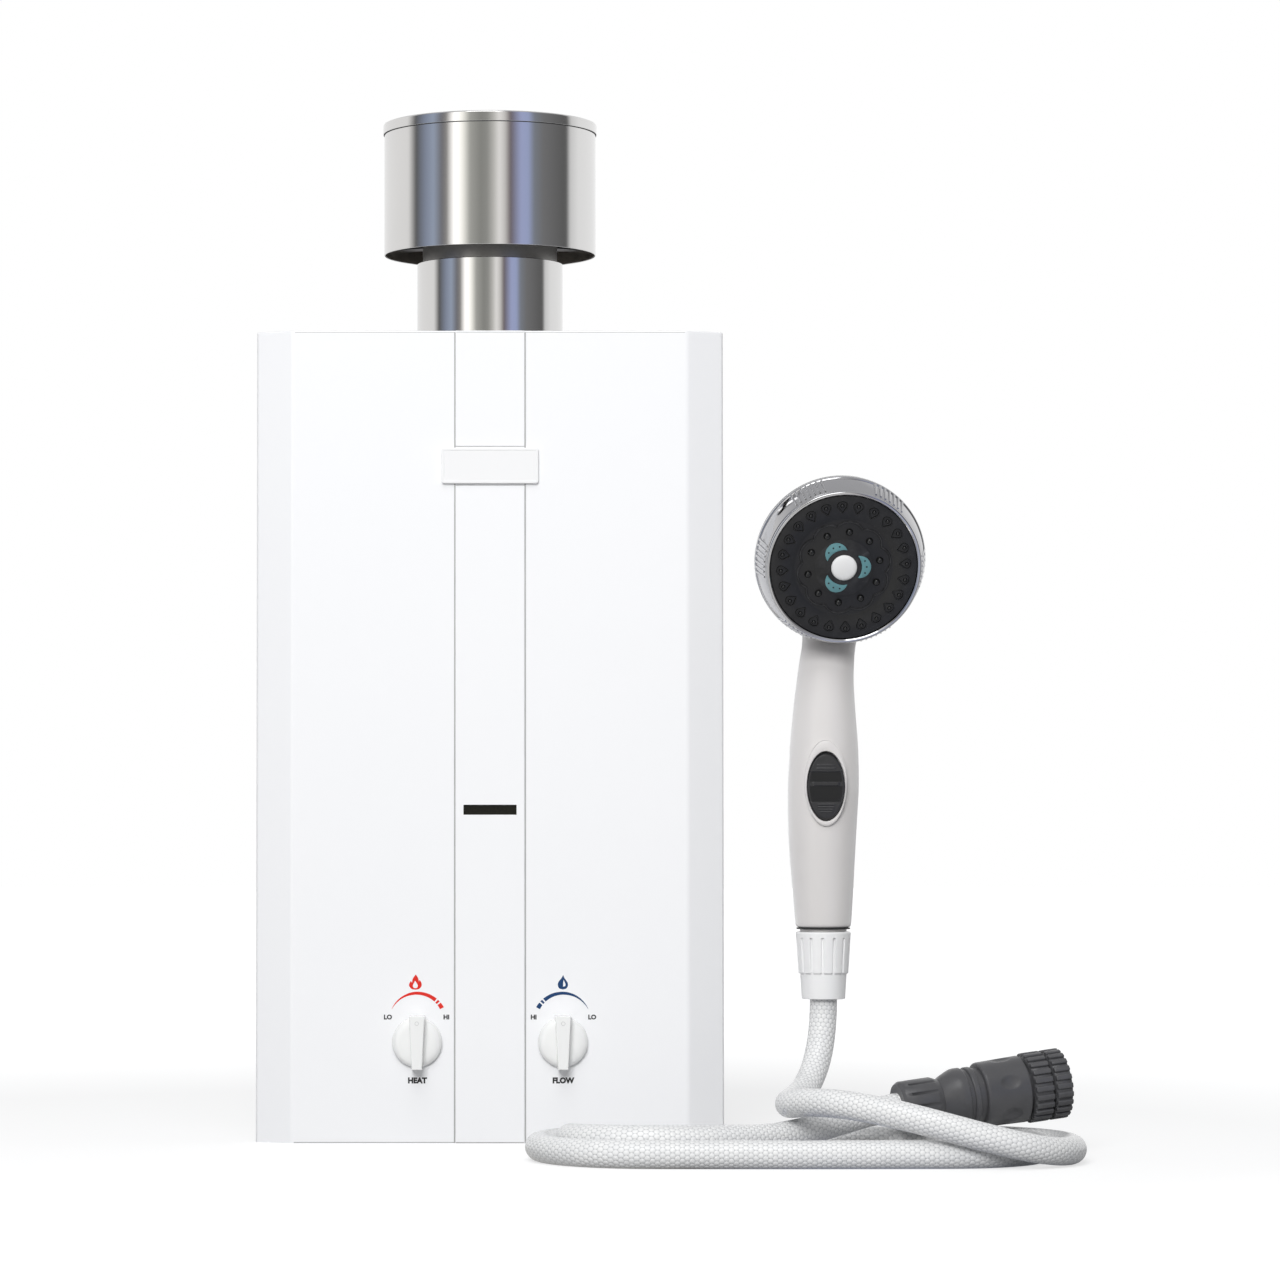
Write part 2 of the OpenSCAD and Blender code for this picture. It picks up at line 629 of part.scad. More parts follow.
// Closed skin through rings of points, which all have the same count.
module skin(rings) {
    n = len(rings[0]);
    m = len(rings);
    polyhedron(
        points = [for (ring = rings) each ring],
        faces = concat(
            [[for (i = [0:n - 1]) i], [for (i = [n - 1:-1:0]) (m - 1) * n + i]],
            [for (k = [0:m - 2], i = [0:n - 1]) each [
                [k * n + i, (k + 1) * n + (i + 1) % n, k * n + (i + 1) % n],
                [k * n + i, (k + 1) * n + i, (k + 1) * n + (i + 1) % n]]]));
}

// Handle moved in by t, with its lower end lengthened by down.
module handle_solid(t, down) skin([for (k = [0:len(handle) - 1]) let (s = handle[k])
    [for (i = [0:27]) let (a = 360 * i / 28)
        [s[1] + (s[3] - t) * cos(a), s[2] + (s[4] - t) * sin(a), s[0] - (k == 0 ? down : 0)]]]);

module at_head() translate(head_at) rotate([90 + head_tilt, 0, head_yaw]) children();

// Round back of the head, moved in by t.
module head_dome(t) rotate_extrude() polygon(concat([[0, 0]],
    [for (a = [0:10:90]) [(head_r - 3 - t) * cos(a), -(50 - t) * sin(a)]]));

module at_rocker() translate([handset_x + 0.6, handset_y, rocker_z + 2.5]) rotate([90, 0, 0]) children();

// Oval plate, w wide and h high.
module oval(w, h, depth) linear_extrude(depth)
    polygon([for (a = [0:7.5:352.5]) [w / 2 * cos(a), h / 2 * sin(a)]]);

bezel_w = rocker_w + 3.6;
bezel_h = rocker_h + 15;
bezel_out = 32.4;                             // front of the bezel ahead of the handle's axis
rocker_axis = 20;                             // rocker pin ahead of the handle's axis
rocker_bow = 113;                             // radius of the rocker's bowed face

module handset_shell() color("gainsboro") difference() {
    union() {
        handle_solid(0, 0);
        at_head() head_dome(0);
    }
    difference() {
        union() {
            handle_solid(shell_t, cut);
            at_head() head_dome(shell_t);
        }
        at_head() translate([0, 0, -60]) cylinder(r = 9, h = 60);
    }
    at_head() translate([0, 0, -10]) cylinder(r = 4, h = 11);
    at_rocker() translate([0, 0, 10]) oval(bezel_w + 0.1, bezel_h + 0.1, 40);
}

module handset_stub() color("gainsboro") translate([handset_x, handset_y, 0]) difference() {
    union() {
        translate([0, 0, nut_top - 36]) cylinder(r = stub_r, h = 36 + seat);
        translate([0, 0, nut_top + seat]) cylinder(r = 20.4, h = handle_z - nut_top - seat);
        translate([0, 0, handle_z]) cylinder(r = 24 - shell_t - seat, h = 12);
    }
    translate([0, 0, nut_top - 36 - cut]) cylinder(r = 8, h = 80);
}

module flow_valve() color("dimgray") translate([handset_x, handset_y + 2, 0]) difference() {
    union() {
        translate([0, 0, handle_z + 12]) cylinder(r = 9.5, h = tube_top - handle_z - 12);
        translate([0, 0, rocker_z - 22]) cylinder(r = 15.5, h = 44);
    }
    translate([0, 0, handle_z]) cylinder(r = 7.5, h = 70);
}

module rocker_bezel() color("gainsboro") at_rocker() difference() {
    translate([0, 0, 15.5]) oval(bezel_w, bezel_h, bezel_out - 15.5);
    translate([0, -2.5, 12]) oval(rocker_w + 0.8, rocker_h + 0.8, 30);
    translate([0, -2.5, rocker_axis]) rotate([0, 90, 0]) cylinder(r = 1.5 + running, h = 2 * bezel_w, center = true, $fn = 32);
}

module rocker_switch() color("black") at_rocker() translate([0, -2.5, 0]) difference() {
    intersection() {
        translate([0, 0, rocker_axis - 3]) oval(rocker_w - 0.2, rocker_h - 1.6, 18);
        translate([0, 0, bezel_out + 2.6 - rocker_bow]) rotate([0, 90, 0])
            cylinder(r = rocker_bow, h = 80, center = true, $fn = 180);
    }
    translate([0, 0, rocker_axis]) rotate([0, 90, 0])
        cylinder(r = 1.5 + running, h = 2 * rocker_w, center = true, $fn = 32);
}

module rocker_pin() color("silver") at_rocker() translate([0, -2.5, rocker_axis]) rotate([0, 90, 0])
    cylinder(r = 1.5, h = bezel_w - 1, center = true, $fn = 32);

ring_z = 2.3;                                 // rear face of the spray ring
face_z = ring_z + head_d - 8;                 // rear face of the face plate
face_t = 6;
face_front = face_z + face_t;
cap_r = 11.3;

module head_gasket() color("black") at_head() translate([0, 0, seat]) difference() {
    cylinder(r = head_r - 0.6, h = 1.7);
    translate([0, 0, -cut]) cylinder(r = head_r - 9, h = 1.7 + 2 * cut);
}

module spray_ring() color("silver") at_head() rotate_extrude() polygon([
    [head_r - 6, ring_z], [head_r - 1, ring_z], [head_r, ring_z + 1.5], [head_r, ring_z + 5],
    [face_r + 3.4, ring_z + head_d - 2], [face_r + 2.4, ring_z + head_d],
    [face_r, ring_z + head_d], [face_r, face_z], [head_r - 6, ring_z + 6]]);

module face_plate() color("black") at_head() difference() {
    union() {
        translate([0, 0, face_z]) cylinder(r = face_r, h = face_t);
        for (i = [0:23]) rotate(i * 15) translate([face_r - 11, 0, face_front - 0.5]) cylinder(r = 2.2, h = 1.7, $fn = 24);
        for (i = [0:9]) rotate(i * 36) translate([face_r / 2, 0, face_front - 0.5]) cylinder(r = 2.4, h = 2, $fn = 24);
    }
    translate([0, 0, face_z - cut]) cylinder(r = 4 + seat, h = face_t + 2 * cut);
}

module nozzle_crescents() color("cadetblue") at_head() for (turn = [0, 118, 242]) rotate(turn)
    translate([0, 0, face_front]) difference() {
        translate([15, 0, 0]) cylinder(r = 8.6, h = 0.8);
        translate([0, 0, -cut]) cylinder(r = cap_r + 2.4, h = 0.8 + 2 * cut);
    }

module centre_cap() color("white") at_head() {
    translate([0, 0, -9]) cylinder(r = 3.9, h = face_front + 10);
    translate([0, 0, face_front + seat]) rotate_extrude()
        polygon([[0, 0], [cap_r, 0], [cap_r, 1.6], [cap_r - 1, 2.8], [0, 4]]);
}

module hose_nut() color("white") translate([handset_x, handset_y, 0]) difference() {
    rotate_extrude() polygon([[0, nut_z], [nut_r - 4.9, nut_z], [nut_r - 3.1, nut_z + nut_h * 0.38],
        [nut_r - 0.1, nut_z + nut_h * 0.88], [nut_r, nut_top - 4], [nut_r - 0.6, nut_top], [0, nut_top]]);
    translate([0, 0, nut_z - cut]) cylinder(r = ferrule_r + 0.4, h = nut_h);
    translate([0, 0, nut_top - 42]) cylinder(r = stub_r + 0.4, h = 42 + cut);
}

module hose_ferrule() color("silver") translate([handset_x, handset_y, 0]) {
    translate([0, 0, nut_z]) cylinder(r = ferrule_r, h = nut_h - 41);
    translate([0, 0, nut_top - 41.7]) cylinder(r = stub_r, h = 5.3);
}

// Hose ---------------------------------------------------------------------

// Route from the nut down, round to the front and across to the coil.
lead_route = [
    [293, -205, 134.5], [293, -205, 110], [290, -211, 91], [284, -223, 72], [276, -240, 58],
    [266, -260, 50], [257, -283, 48], [254, -306, 48], [258, -329, 50], [269, -352, 53],
    [288, -373, 54], [314, -390, 51], [345, -402, 45], [380, -411, 36], [414, -415, 27],
    [446, -411, 19], [473, -393, 14], [490, -365, 12.3], [497, -335, 12], [498, -306, 12]
];
// Route from the coil's inner end up to the coupling.
tail_route = [
    [71, -332, 21], [86, -353, 22], [110, -367, 22], [138, -370, 22], [172, -362, 21],
    [210, -343, 20.5], [248, -318, 21], [288, -293, 28.5]
];
coil_x = 262.5;                               // middle of the coil
coil_y = -306;
coil_run = 122;                               // half length of the coil's straight sides
coil_r = 113.5;                               // radius of the coil's first turn
coil_step = 26;                               // how much nearer the middle each turn lies
coil_turns = 1.5;
loop_rings = 24;
coupling_at = [353, -265, 43.6];              // face of the coupling that the hose meets
coupling_tilt = 7;
coupling_yaw = 15;
coupling_way = [cos(coupling_tilt) * cos(coupling_yaw), cos(coupling_tilt) * sin(coupling_yaw), sin(coupling_tilt)];

function clamp(x) = max(-1, min(1, x));
function coil_point(turn) = let (a = 360 * turn, r = coil_r - coil_step * turn)
    [coil_x + coil_run * clamp(4 * cos(a)) + r * cos(a), coil_y + r * sin(a),
     12 + 8 * max(0, (turn - 1.25) * 4)];
function coil_route(n) = [for (i = [0:coil_turns * n]) coil_point(i / n)];
function hose_end() = concat(tail_route, [coupling_at - 24 * coupling_way, coupling_at]);
function coil_path(n) = concat(coil_route(n), hose_end());

function heading(path, i, first, last) = i == 0 ? first : i == len(path) - 1 ? last
    : unit(unit(path[i + 1] - path[i]) + unit(path[i] - path[i - 1]));
function square_to(v, t) = unit(v - (v * t) * t);
function sides_of(path, first, last, start) = [for (i = 0, v = start; i < len(path);
    i = i + 1, v = i < len(path) ? square_to(v, heading(path, i, first, last)) : v) v];

// Tube of n sides swept along a path, its ends square to first and last.
module sweep(path, r, n, first, last, start) {
    across = sides_of(path, first, last, start);
    skin([for (i = [0:len(path) - 1]) let (t = heading(path, i, first, last), u = across[i], w = cross(t, u))
        [for (k = [0:n - 1]) let (a = 360 * (k + 0.5) / n) path[i] + r * (cos(a) * u + sin(a) * w)]]);
}

module hose_lead() color("white") sweep(lead_route, hose_r, 8, [0, 0, -1], [0, 1, 0], [1, 0, 0]);

module hose_coil() color("white")
    sweep(coil_path(loop_rings), hose_r, 8, [0, 1, 0], coupling_way, [0, 0, 1]);

whole = concat(lead_route, coil_path(loop_rings * 2));
run_to = [for (i = 0, s = 0; i < len(whole); i = i + 1,
    s = s + (i < len(whole) ? norm(whole[i] - whole[i - 1]) : 0)) s];
hose_gap = min([for (i = [0:len(whole) - 1], j = [0:len(whole) - 1])
    if (run_to[j] - run_to[i] > 3 * hose_d) norm(whole[i] - whole[j]) - hose_d]);
echo(hose_length = run_to[len(whole) - 1], least_gap_of_hose_to_itself = hose_gap);

// Hose coupling ------------------------------------------------------------

tail_l = 37;
barrel_from = 75;
barrel_to = 106;
neck_r = barrel_r - 6.6;
collar_from = barrel_to + 4;
ring_l = 15;
ring_from = coupling_l - ring_l;
collar_to = ring_from - 2.5;
socket_l = 12;
socket_r = 13.4;
nose_r = 9;

module at_coupling() translate(coupling_at) rotate([0, 90 - coupling_tilt, coupling_yaw]) children();

module coupling_tail_nut() color("dimgray") at_coupling() difference() {
    rotate_extrude() polygon([[0, 0], [19.5, 0], [21.5, 3], [21.5, tail_l - 6], [19, tail_l], [0, tail_l]]);
    translate([0, 0, -cut]) cylinder(r = hose_r - 0.1 + seat, h = tail_l + 2 * cut);
    for (i = [0:11]) rotate(i * 30) translate([22.3, 0, 8]) cylinder(r = 1.6, h = tail_l, $fn = 24);
}

module coupling_body() color("dimgray") at_coupling() difference() {
    rotate_extrude() polygon([[0, seat], [hose_r - 0.1, seat], [hose_r - 0.1, tail_l + seat], [18.5, tail_l + seat],
        [24.5, tail_l + 12], [26, tail_l + 17], [26, tail_l + 22], [24, tail_l + 23], [24, tail_l + 26],
        [25.6, tail_l + 27], [25.6, tail_l + 31], [24, tail_l + 32], [24, barrel_from - 1],
        [barrel_r - 1.5, barrel_from], [barrel_r, barrel_from + 4], [barrel_r, barrel_to - 1],
        [barrel_r - 1, barrel_to], [neck_r, barrel_to], [neck_r, collar_to + 1], [nose_r, collar_to + 1],
        [nose_r, ring_from + 2.5], [0, ring_from + 2.5]]);
    translate([0, 0, 30]) cylinder(r = 6, h = coupling_l);
    for (i = [0:5]) rotate(i * 60 + 10) translate([barrel_r + 21, 0, barrel_from + 17]) sphere(r = 22.5, $fn = 48);
}

module ribbed_ring(r, from, to, ribs) {
    cylinder_l = to - from;
    translate([0, 0, from]) cylinder(r = r - 1.2, h = cylinder_l);
    for (i = [0:ribs - 1]) rotate(i * 360 / ribs) translate([r - 1.6, 0, from + 1.5]) cylinder(r = 1.6, h = cylinder_l - 3, $fn = 20);
}

module coupling_collar() color("dimgray") at_coupling() difference() {
    ribbed_ring(barrel_r + 2, collar_from, collar_to, 24);
    translate([0, 0, collar_from - cut]) cylinder(r = neck_r + seat, h = coupling_l);
}

module coupling_end_ring() color("dimgray") at_coupling() difference() {
    ribbed_ring(barrel_r + 2, ring_from, coupling_l, 24);
    translate([0, 0, coupling_l - socket_l]) cylinder(r = socket_r, h = socket_l + cut);
    translate([0, 0, ring_from - cut]) cylinder(r = nose_r + seat, h = ring_l);
}

front_cover();
back_plate();
base_plate();
trim_strip_upper();
trim_strip_lower();
badge_plate();
sight_glass();
cover_screws();
flue_pipe();
cap_collar();
cap_brackets();
cap_drum();
cap_lid();
draft_hood();
combustion_shell();
exchanger_fins();
exchanger_tube();
burner_bars();
gas_rail();
gas_valve_body();
water_valve_body();
diaphragm_cover();
push_rod();
micro_switch();
valve_bridge();
gas_spindle();
water_spindle();
gas_knob();
water_knob();
gas_inlet_fitting();
cold_inlet_fitting();
hot_outlet_fitting();
cold_pipe();
hot_pipe();
control_box();
igniter_electrodes();
overheat_thermostat();
battery_box();
battery_door();
batteries();
handset_shell();
handset_stub();
flow_valve();
rocker_bezel();
rocker_switch();
rocker_pin();
head_gasket();
spray_ring();
face_plate();
nozzle_crescents();
centre_cap();
hose_nut();
hose_ferrule();
hose_lead();
hose_coil();
coupling_tail_nut();
coupling_body();
coupling_collar();
coupling_end_ring();
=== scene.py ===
import json
import logging
import math
from dataclasses import dataclass, field
from enum import Enum
from typing import Optional, Sequence

import bmesh
import bpy
from mathutils import Matrix, Vector


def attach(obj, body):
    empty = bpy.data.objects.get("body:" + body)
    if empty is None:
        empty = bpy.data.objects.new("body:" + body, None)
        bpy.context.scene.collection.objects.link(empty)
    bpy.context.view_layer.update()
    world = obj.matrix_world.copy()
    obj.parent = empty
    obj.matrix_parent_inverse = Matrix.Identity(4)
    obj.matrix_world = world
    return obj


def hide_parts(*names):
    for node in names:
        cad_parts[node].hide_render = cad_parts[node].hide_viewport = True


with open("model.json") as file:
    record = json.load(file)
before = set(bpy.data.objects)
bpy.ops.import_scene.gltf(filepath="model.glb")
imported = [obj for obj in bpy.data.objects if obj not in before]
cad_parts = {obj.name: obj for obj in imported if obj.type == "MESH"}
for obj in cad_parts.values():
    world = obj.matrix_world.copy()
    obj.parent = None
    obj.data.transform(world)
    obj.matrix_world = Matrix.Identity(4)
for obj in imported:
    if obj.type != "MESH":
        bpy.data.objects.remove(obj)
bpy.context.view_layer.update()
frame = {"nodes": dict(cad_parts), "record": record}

MM = 0.001
LOG = logging.getLogger("water_heater")

Colour = tuple[float, float, float]
Point = Sequence[float]
Shape = bmesh.types.BMesh
Thing = bpy.types.Object
Node = bpy.types.Node
Socket = bpy.types.NodeSocket

# Sizes in millimetres, the same as in the part's source.
FRONT_Y, BACK_Y, HALF_W = -90.0, 90.0, 212.0
CASING_H, CHAMFER_W, CHAMFER_D, SHEET_T = 735.0, 33.0, 16.0, 1.5
KNOB_X, KNOB_Z = 65.8, 91.0
SLOT_W, SLOT_H, SLOT_Z = 48.0, 9.0, 300.5
BADGE_Z = 612.0
FLUE_Y, FLUE_R = -10.0, 67.2
HANDSET_X, HANDSET_Y = 293.0, -205.0
WELD = 0.0005  # points nearer than this are one point


class Place(Enum):
    """The local frames that pieces are drawn in."""

    PANEL_GAS = "gas knob"
    PANEL_WATER = "water knob"
    BADGE = "badge plate"
    FLUE = "flue axis"
    HANDLE = "handle axis"
    HEAD = "spray head"
    ROCKER = "rocker switch"
    COUPLING = "hose coupling"
    WORLD = "whole object"

    def matrix(self) -> Matrix:
        """The matrix from this frame, in millimetres, to the scene, in metres.

        Returns:
            A 4 by 4 matrix.
        """
        spots: dict[Place, tuple[Point, Point]] = {
            Place.PANEL_GAS: ((-KNOB_X, FRONT_Y, KNOB_Z), (90, 0, 0)),
            Place.PANEL_WATER: ((KNOB_X, FRONT_Y, KNOB_Z), (90, 0, 0)),
            Place.BADGE: ((0, FRONT_Y, BADGE_Z), (90, 0, 0)),
            Place.FLUE: ((0, FLUE_Y, 0), (0, 0, 0)),
            Place.HANDLE: ((HANDSET_X, HANDSET_Y, 0), (0, 0, 0)),
            Place.HEAD: ((305.5, -236, 520.5), (107.5, 0, 3.5)),
            Place.ROCKER: ((HANDSET_X + 0.6, HANDSET_Y, 323.5), (90, 0, 0)),
            Place.COUPLING: ((353, -265, 43.6), (0, 83, 15)),
            Place.WORLD: ((0, 0, 0), (0, 0, 0)),
        }
        at, turn = spots[self]
        x, y, z = (math.radians(a) for a in turn)
        rotation = Matrix.Rotation(z, 4, "Z") @ Matrix.Rotation(y, 4, "Y") @ Matrix.Rotation(x, 4, "X")
        return Matrix.Scale(MM, 4) @ Matrix.Translation(Vector(at)) @ rotation


# Materials -----------------------------------------------------------------


class Tree:
    """A node tree with short calls for adding and joining nodes."""

    def __init__(self, tree: bpy.types.NodeTree) -> None:
        """Keeps the node tree of a material, the world or a group."""
        self.tree = tree

    def add(self, kind: str, **settings: object) -> Node:
        """Adds one node and sets its properties.

        Args:
            kind: the node's type name.
            settings: property values by name.

        Returns:
            The new node.
        """
        node = self.tree.nodes.new(kind)
        for key, value in settings.items():
            setattr(node, key, value)
        return node

    def feed(self, socket: Socket, value: object) -> None:
        """Links a socket to another, or sets its value where that is plain.

        Args:
            socket: the input to feed.
            value: an output socket, a number, or a tuple.
        """
        if isinstance(value, Socket):
            self.tree.links.new(value, socket)
        elif isinstance(value, (tuple, list)) and len(value) == 3 and socket.type == "RGBA":
            socket.default_value = (*value, 1.0)
        else:
            socket.default_value = value

    def fill(self, node: Node, values: dict[str, object]) -> Node:
        """Feeds several inputs of a node.

        Args:
            node: the node.
            values: sockets or values, by the input's title.

        Returns:
            The same node.
        """
        for title, value in values.items():
            self.feed(node.inputs[title], value)
        return node

    def math(self, operation: str, a: object, b: object = 0.0, clamp: bool = False) -> Socket:
        """Adds a Math node.

        Args:
            operation: the node's operation.
            a: first value or socket.
            b: second value or socket.
            clamp: whether the result stays from 0 to 1.

        Returns:
            The node's output.
        """
        node = self.add("ShaderNodeMath", operation=operation, use_clamp=clamp)
        self.feed(node.inputs[0], a)
        self.feed(node.inputs[1], b)
        return node.outputs[0]

    def vector(self, operation: str, a: object, b: object = (0.0, 0.0, 0.0)) -> Socket:
        """Adds a Vector Math node.

        Args:
            operation: the node's operation.
            a: first vector or socket.
            b: second vector or socket.

        Returns:
            Its vector, or its value for LENGTH.
        """
        node = self.add("ShaderNodeVectorMath", operation=operation)
        self.feed(node.inputs[0], a)
        self.feed(node.inputs[1], b)
        return node.outputs["Value" if operation == "LENGTH" else "Vector"]

    def group(self, inner: bpy.types.NodeTree, values: dict[str, object]) -> Node:
        """Adds a group node, with values for its inputs by title."""
        return self.fill(self.add("ShaderNodeGroup", node_tree=inner), values)

    def mix(self, share: object, a: object, b: object) -> Socket:
        """Adds a colour mix and returns its colour.

        Args:
            share: how much of b shows.
            a: colour or socket shown at 0.
            b: colour or socket shown at 1.

        Returns:
            The mixed colour.
        """
        node = self.add("ShaderNodeMix", data_type="RGBA")
        self.feed(node.inputs[0], share)
        self.feed(node.inputs[6], a)
        self.feed(node.inputs[7], b)
        return node.outputs[2]

    def span(
        self, value: object, low: float, high: float, to_low: float = 0.0, to_high: float = 1.0
    ) -> Socket:
        """Adds a Map Range node.

        Args:
            value: the value or socket to map.
            low: value that becomes to_low.
            high: value that becomes to_high.
            to_low: result at low, and below it.
            to_high: result at high, and above it.

        Returns:
            The mapped value.
        """
        node = self.add("ShaderNodeMapRange")
        for socket, entry in zip(node.inputs, (value, low, high, to_low, to_high)):
            self.feed(socket, entry)
        return node.outputs[0]

    def noise(self, place: object, scale: object, detail: float = 2.0) -> Socket:
        """Adds a Noise Texture node.

        Args:
            place: the coordinates.
            scale: how fine it is.
            detail: how many finer layers it has.

        Returns:
            Its value.
        """
        node = self.add("ShaderNodeTexNoise")
        self.fill(node, {"Vector": place, "Scale": scale, "Detail": detail})
        return node.outputs[0]


def new_material(name: str) -> tuple[bpy.types.Material, Tree, Node]:
    """Makes a material with nodes.

    Args:
        name: its name.

    Returns:
        The material, its tree and its Principled shader.
    """
    material = bpy.data.materials.new(name)
    material.use_nodes = True
    return material, Tree(material.node_tree), material.node_tree.nodes["Principled BSDF"]


def make_group(name: str, inputs: dict[str, str], outputs: dict[str, str]) -> tuple[Tree, Node, Node]:
    """Makes an empty shader node group with named sockets.

    Args:
        name: the group's name.
        inputs: the socket type of each input, by title.
        outputs: the socket type of each output, by title.

    Returns:
        The group's tree, its input node and its output node.
    """
    group = bpy.data.node_groups.new(name, "ShaderNodeTree")
    for way, sockets in (("INPUT", inputs), ("OUTPUT", outputs)):
        for title, kind in sockets.items():
            group.interface.new_socket(name=title, in_out=way, socket_type=kind)
    tree = Tree(group)
    return tree, tree.add("NodeGroupInput"), tree.add("NodeGroupOutput")


class Effects:
    """Shader node groups that several finishes share."""

    FLOAT, COLOUR, VECTOR = "NodeSocketFloat", "NodeSocketColor", "NodeSocketVector"
    TOUCH = dict.fromkeys(("Roughness", "Spread", "Depth"), "NodeSocketFloat")

    def __init__(self) -> None:
        """Builds each group once."""
        self.grain = self._grain()
        self.mottle = self._mottle()
        self.wear_and_corner_shade = self._wear_and_corner_shade()
        self.lines = self._lines()

    def _grain(self) -> bpy.types.NodeTree:
        """Fine grain that varies the roughness and roughens the surface.

        Returns:
            The group.
        """
        tree, given, made = make_group(
            "fine_grain",
            {"Scale": self.FLOAT, **self.TOUCH},
            {"Roughness": self.FLOAT, "Normal": self.VECTOR, "Height": self.FLOAT},
        )
        place = tree.add("ShaderNodeTexCoord").outputs["Object"]
        fine = tree.noise(place, given.outputs["Scale"], 3.0)
        broad = tree.noise(place, 24.0)
        blend = tree.math("ADD", tree.math("MULTIPLY", fine, 0.6), tree.math("MULTIPLY", broad, 0.4))
        self._surface(tree, given, made, blend, fine)
        tree.feed(made.inputs["Height"], fine)
        return tree.tree

    def _surface(self, tree: Tree, given: Node, made: Node, blend: Socket, relief: Socket) -> None:
        """Turns a pattern into a group's roughness and normal.

        Args:
            tree: the group's tree.
            given: the group's input node.
            made: the group's output node.
            blend: pattern that shifts the roughness.
            relief: pattern that raises the surface.
        """
        shift = tree.math("MULTIPLY", tree.math("SUBTRACT", blend, 0.5), given.outputs["Spread"])
        bump = tree.add("ShaderNodeBump")
        tree.fill(bump, {"Height": relief, "Distance": given.outputs["Depth"]})
        rough = tree.math("ADD", shift, given.outputs["Roughness"], clamp=True)
        tree.fill(made, {"Roughness": rough, "Normal": bump.outputs[0]})

    def _mottle(self) -> bpy.types.NodeTree:
        """Broad, faint colour variation between two tones.

        Returns:
            The group.
        """
        tree, given, made = make_group(
            "tone_mottle",
            {"Colour": self.COLOUR, "Tone": self.COLOUR, "Scale": self.FLOAT, "Amount": self.FLOAT},
            {"Colour": self.COLOUR},
        )
        place = tree.add("ShaderNodeTexCoord").outputs["Object"]
        noise = tree.noise(place, given.outputs["Scale"], 5.0)
        share = tree.math("MULTIPLY", tree.span(noise, 0.3, 0.7), given.outputs["Amount"])
        tree.feed(made.inputs["Colour"], tree.mix(share, given.outputs["Colour"], given.outputs["Tone"]))
        return tree.tree

    def _wear_and_corner_shade(self) -> bpy.types.NodeTree:
        """Rubbed edges and painted shade in concave corners, both from the bend of the surface.

        Returns:
            The group.
        """
        tree, given, made = make_group(
            "edge_rub_and_corner_shade",
            {"Colour": self.COLOUR, "Bright": self.COLOUR, "Amount": self.FLOAT},
            {"Colour": self.COLOUR},
        )
        bend = tree.add("ShaderNodeNewGeometry").outputs["Pointiness"]
        noise = tree.noise(tree.add("ShaderNodeTexCoord").outputs["Object"], 140.0)
        edge = tree.math("MULTIPLY", tree.span(bend, 0.52, 0.60), tree.span(noise, 0.35, 0.65))
        edge = tree.math("MULTIPLY", edge, given.outputs["Amount"])
        # painted shade: concave corners are darkened towards near black, where shade would fall
        corner = tree.math("MULTIPLY", tree.span(bend, 0.49, 0.42), given.outputs["Amount"])
        bright = tree.mix(edge, given.outputs["Colour"], given.outputs["Bright"])
        dark = tree.mix(tree.math("MULTIPLY", corner, 0.5), bright, (0.02, 0.02, 0.02))
        tree.feed(made.inputs["Colour"], dark)
        return tree.tree

    def _lines(self) -> bpy.types.NodeTree:
        """Fine parallel lines, as left by rolling or turning.

        Returns:
            The group.
        """
        tree, given, made = make_group(
            "rolled_lines",
            {"Stretch": self.VECTOR, **self.TOUCH},
            {"Roughness": self.FLOAT, "Normal": self.VECTOR},
        )
        place = tree.add("ShaderNodeTexCoord").outputs["Object"]
        noise = tree.noise(tree.vector("MULTIPLY", place, given.outputs["Stretch"]), 1.0, 6.0)
        self._surface(tree, given, made, noise, noise)
        return tree.tree


@dataclass(frozen=True)
class Finish:
    """A painted, moulded, plated or cast finish."""

    name: str
    colour: Colour
    tone: Colour
    roughness: float
    spread: float = 0.08
    grain: float = 900.0
    depth: float = 0.00002
    mottle: float = 20.0
    amount: float = 0.35
    metallic: float = 0.0
    coat: float = 0.0
    # how strongly edges are rubbed bright and concave corners get painted shade
    rub_and_shade: float = 0.0
    bright: Colour = (0.8, 0.8, 0.8)
    stretch: Optional[Point] = None
    sheen: float = 0.0

    def build(self, effects: Effects) -> bpy.types.Material:
        """Makes the material.

        Args:
            effects: the shared shader node groups.

        Returns:
            The material.
        """
        material, tree, shader = new_material(self.name)
        tree.fill(shader, {
            "Metallic": self.metallic, "Coat Weight": self.coat, "Coat Roughness": 0.08,
            "Sheen Weight": self.sheen,
        })
        mottle = tree.group(effects.mottle, {
            "Colour": self.colour, "Tone": self.tone, "Scale": self.mottle, "Amount": self.amount,
        })
        colour = mottle.outputs[0]
        # rubbed edges, and painted shade in concave corners
        if self.rub_and_shade:
            rubbed = {"Colour": colour, "Bright": self.bright, "Amount": self.rub_and_shade}
            colour = tree.group(effects.wear_and_corner_shade, rubbed).outputs[0]
        touch = {"Roughness": self.roughness, "Spread": self.spread, "Depth": self.depth}
        if self.stretch:
            surface = tree.group(effects.lines, {"Stretch": tuple(self.stretch), **touch})
        else:
            surface = tree.group(effects.grain, {"Scale": self.grain, **touch})
        tree.fill(shader, {
            "Base Color": colour, "Roughness": surface.outputs["Roughness"],
            "Normal": surface.outputs["Normal"],
        })
        return material


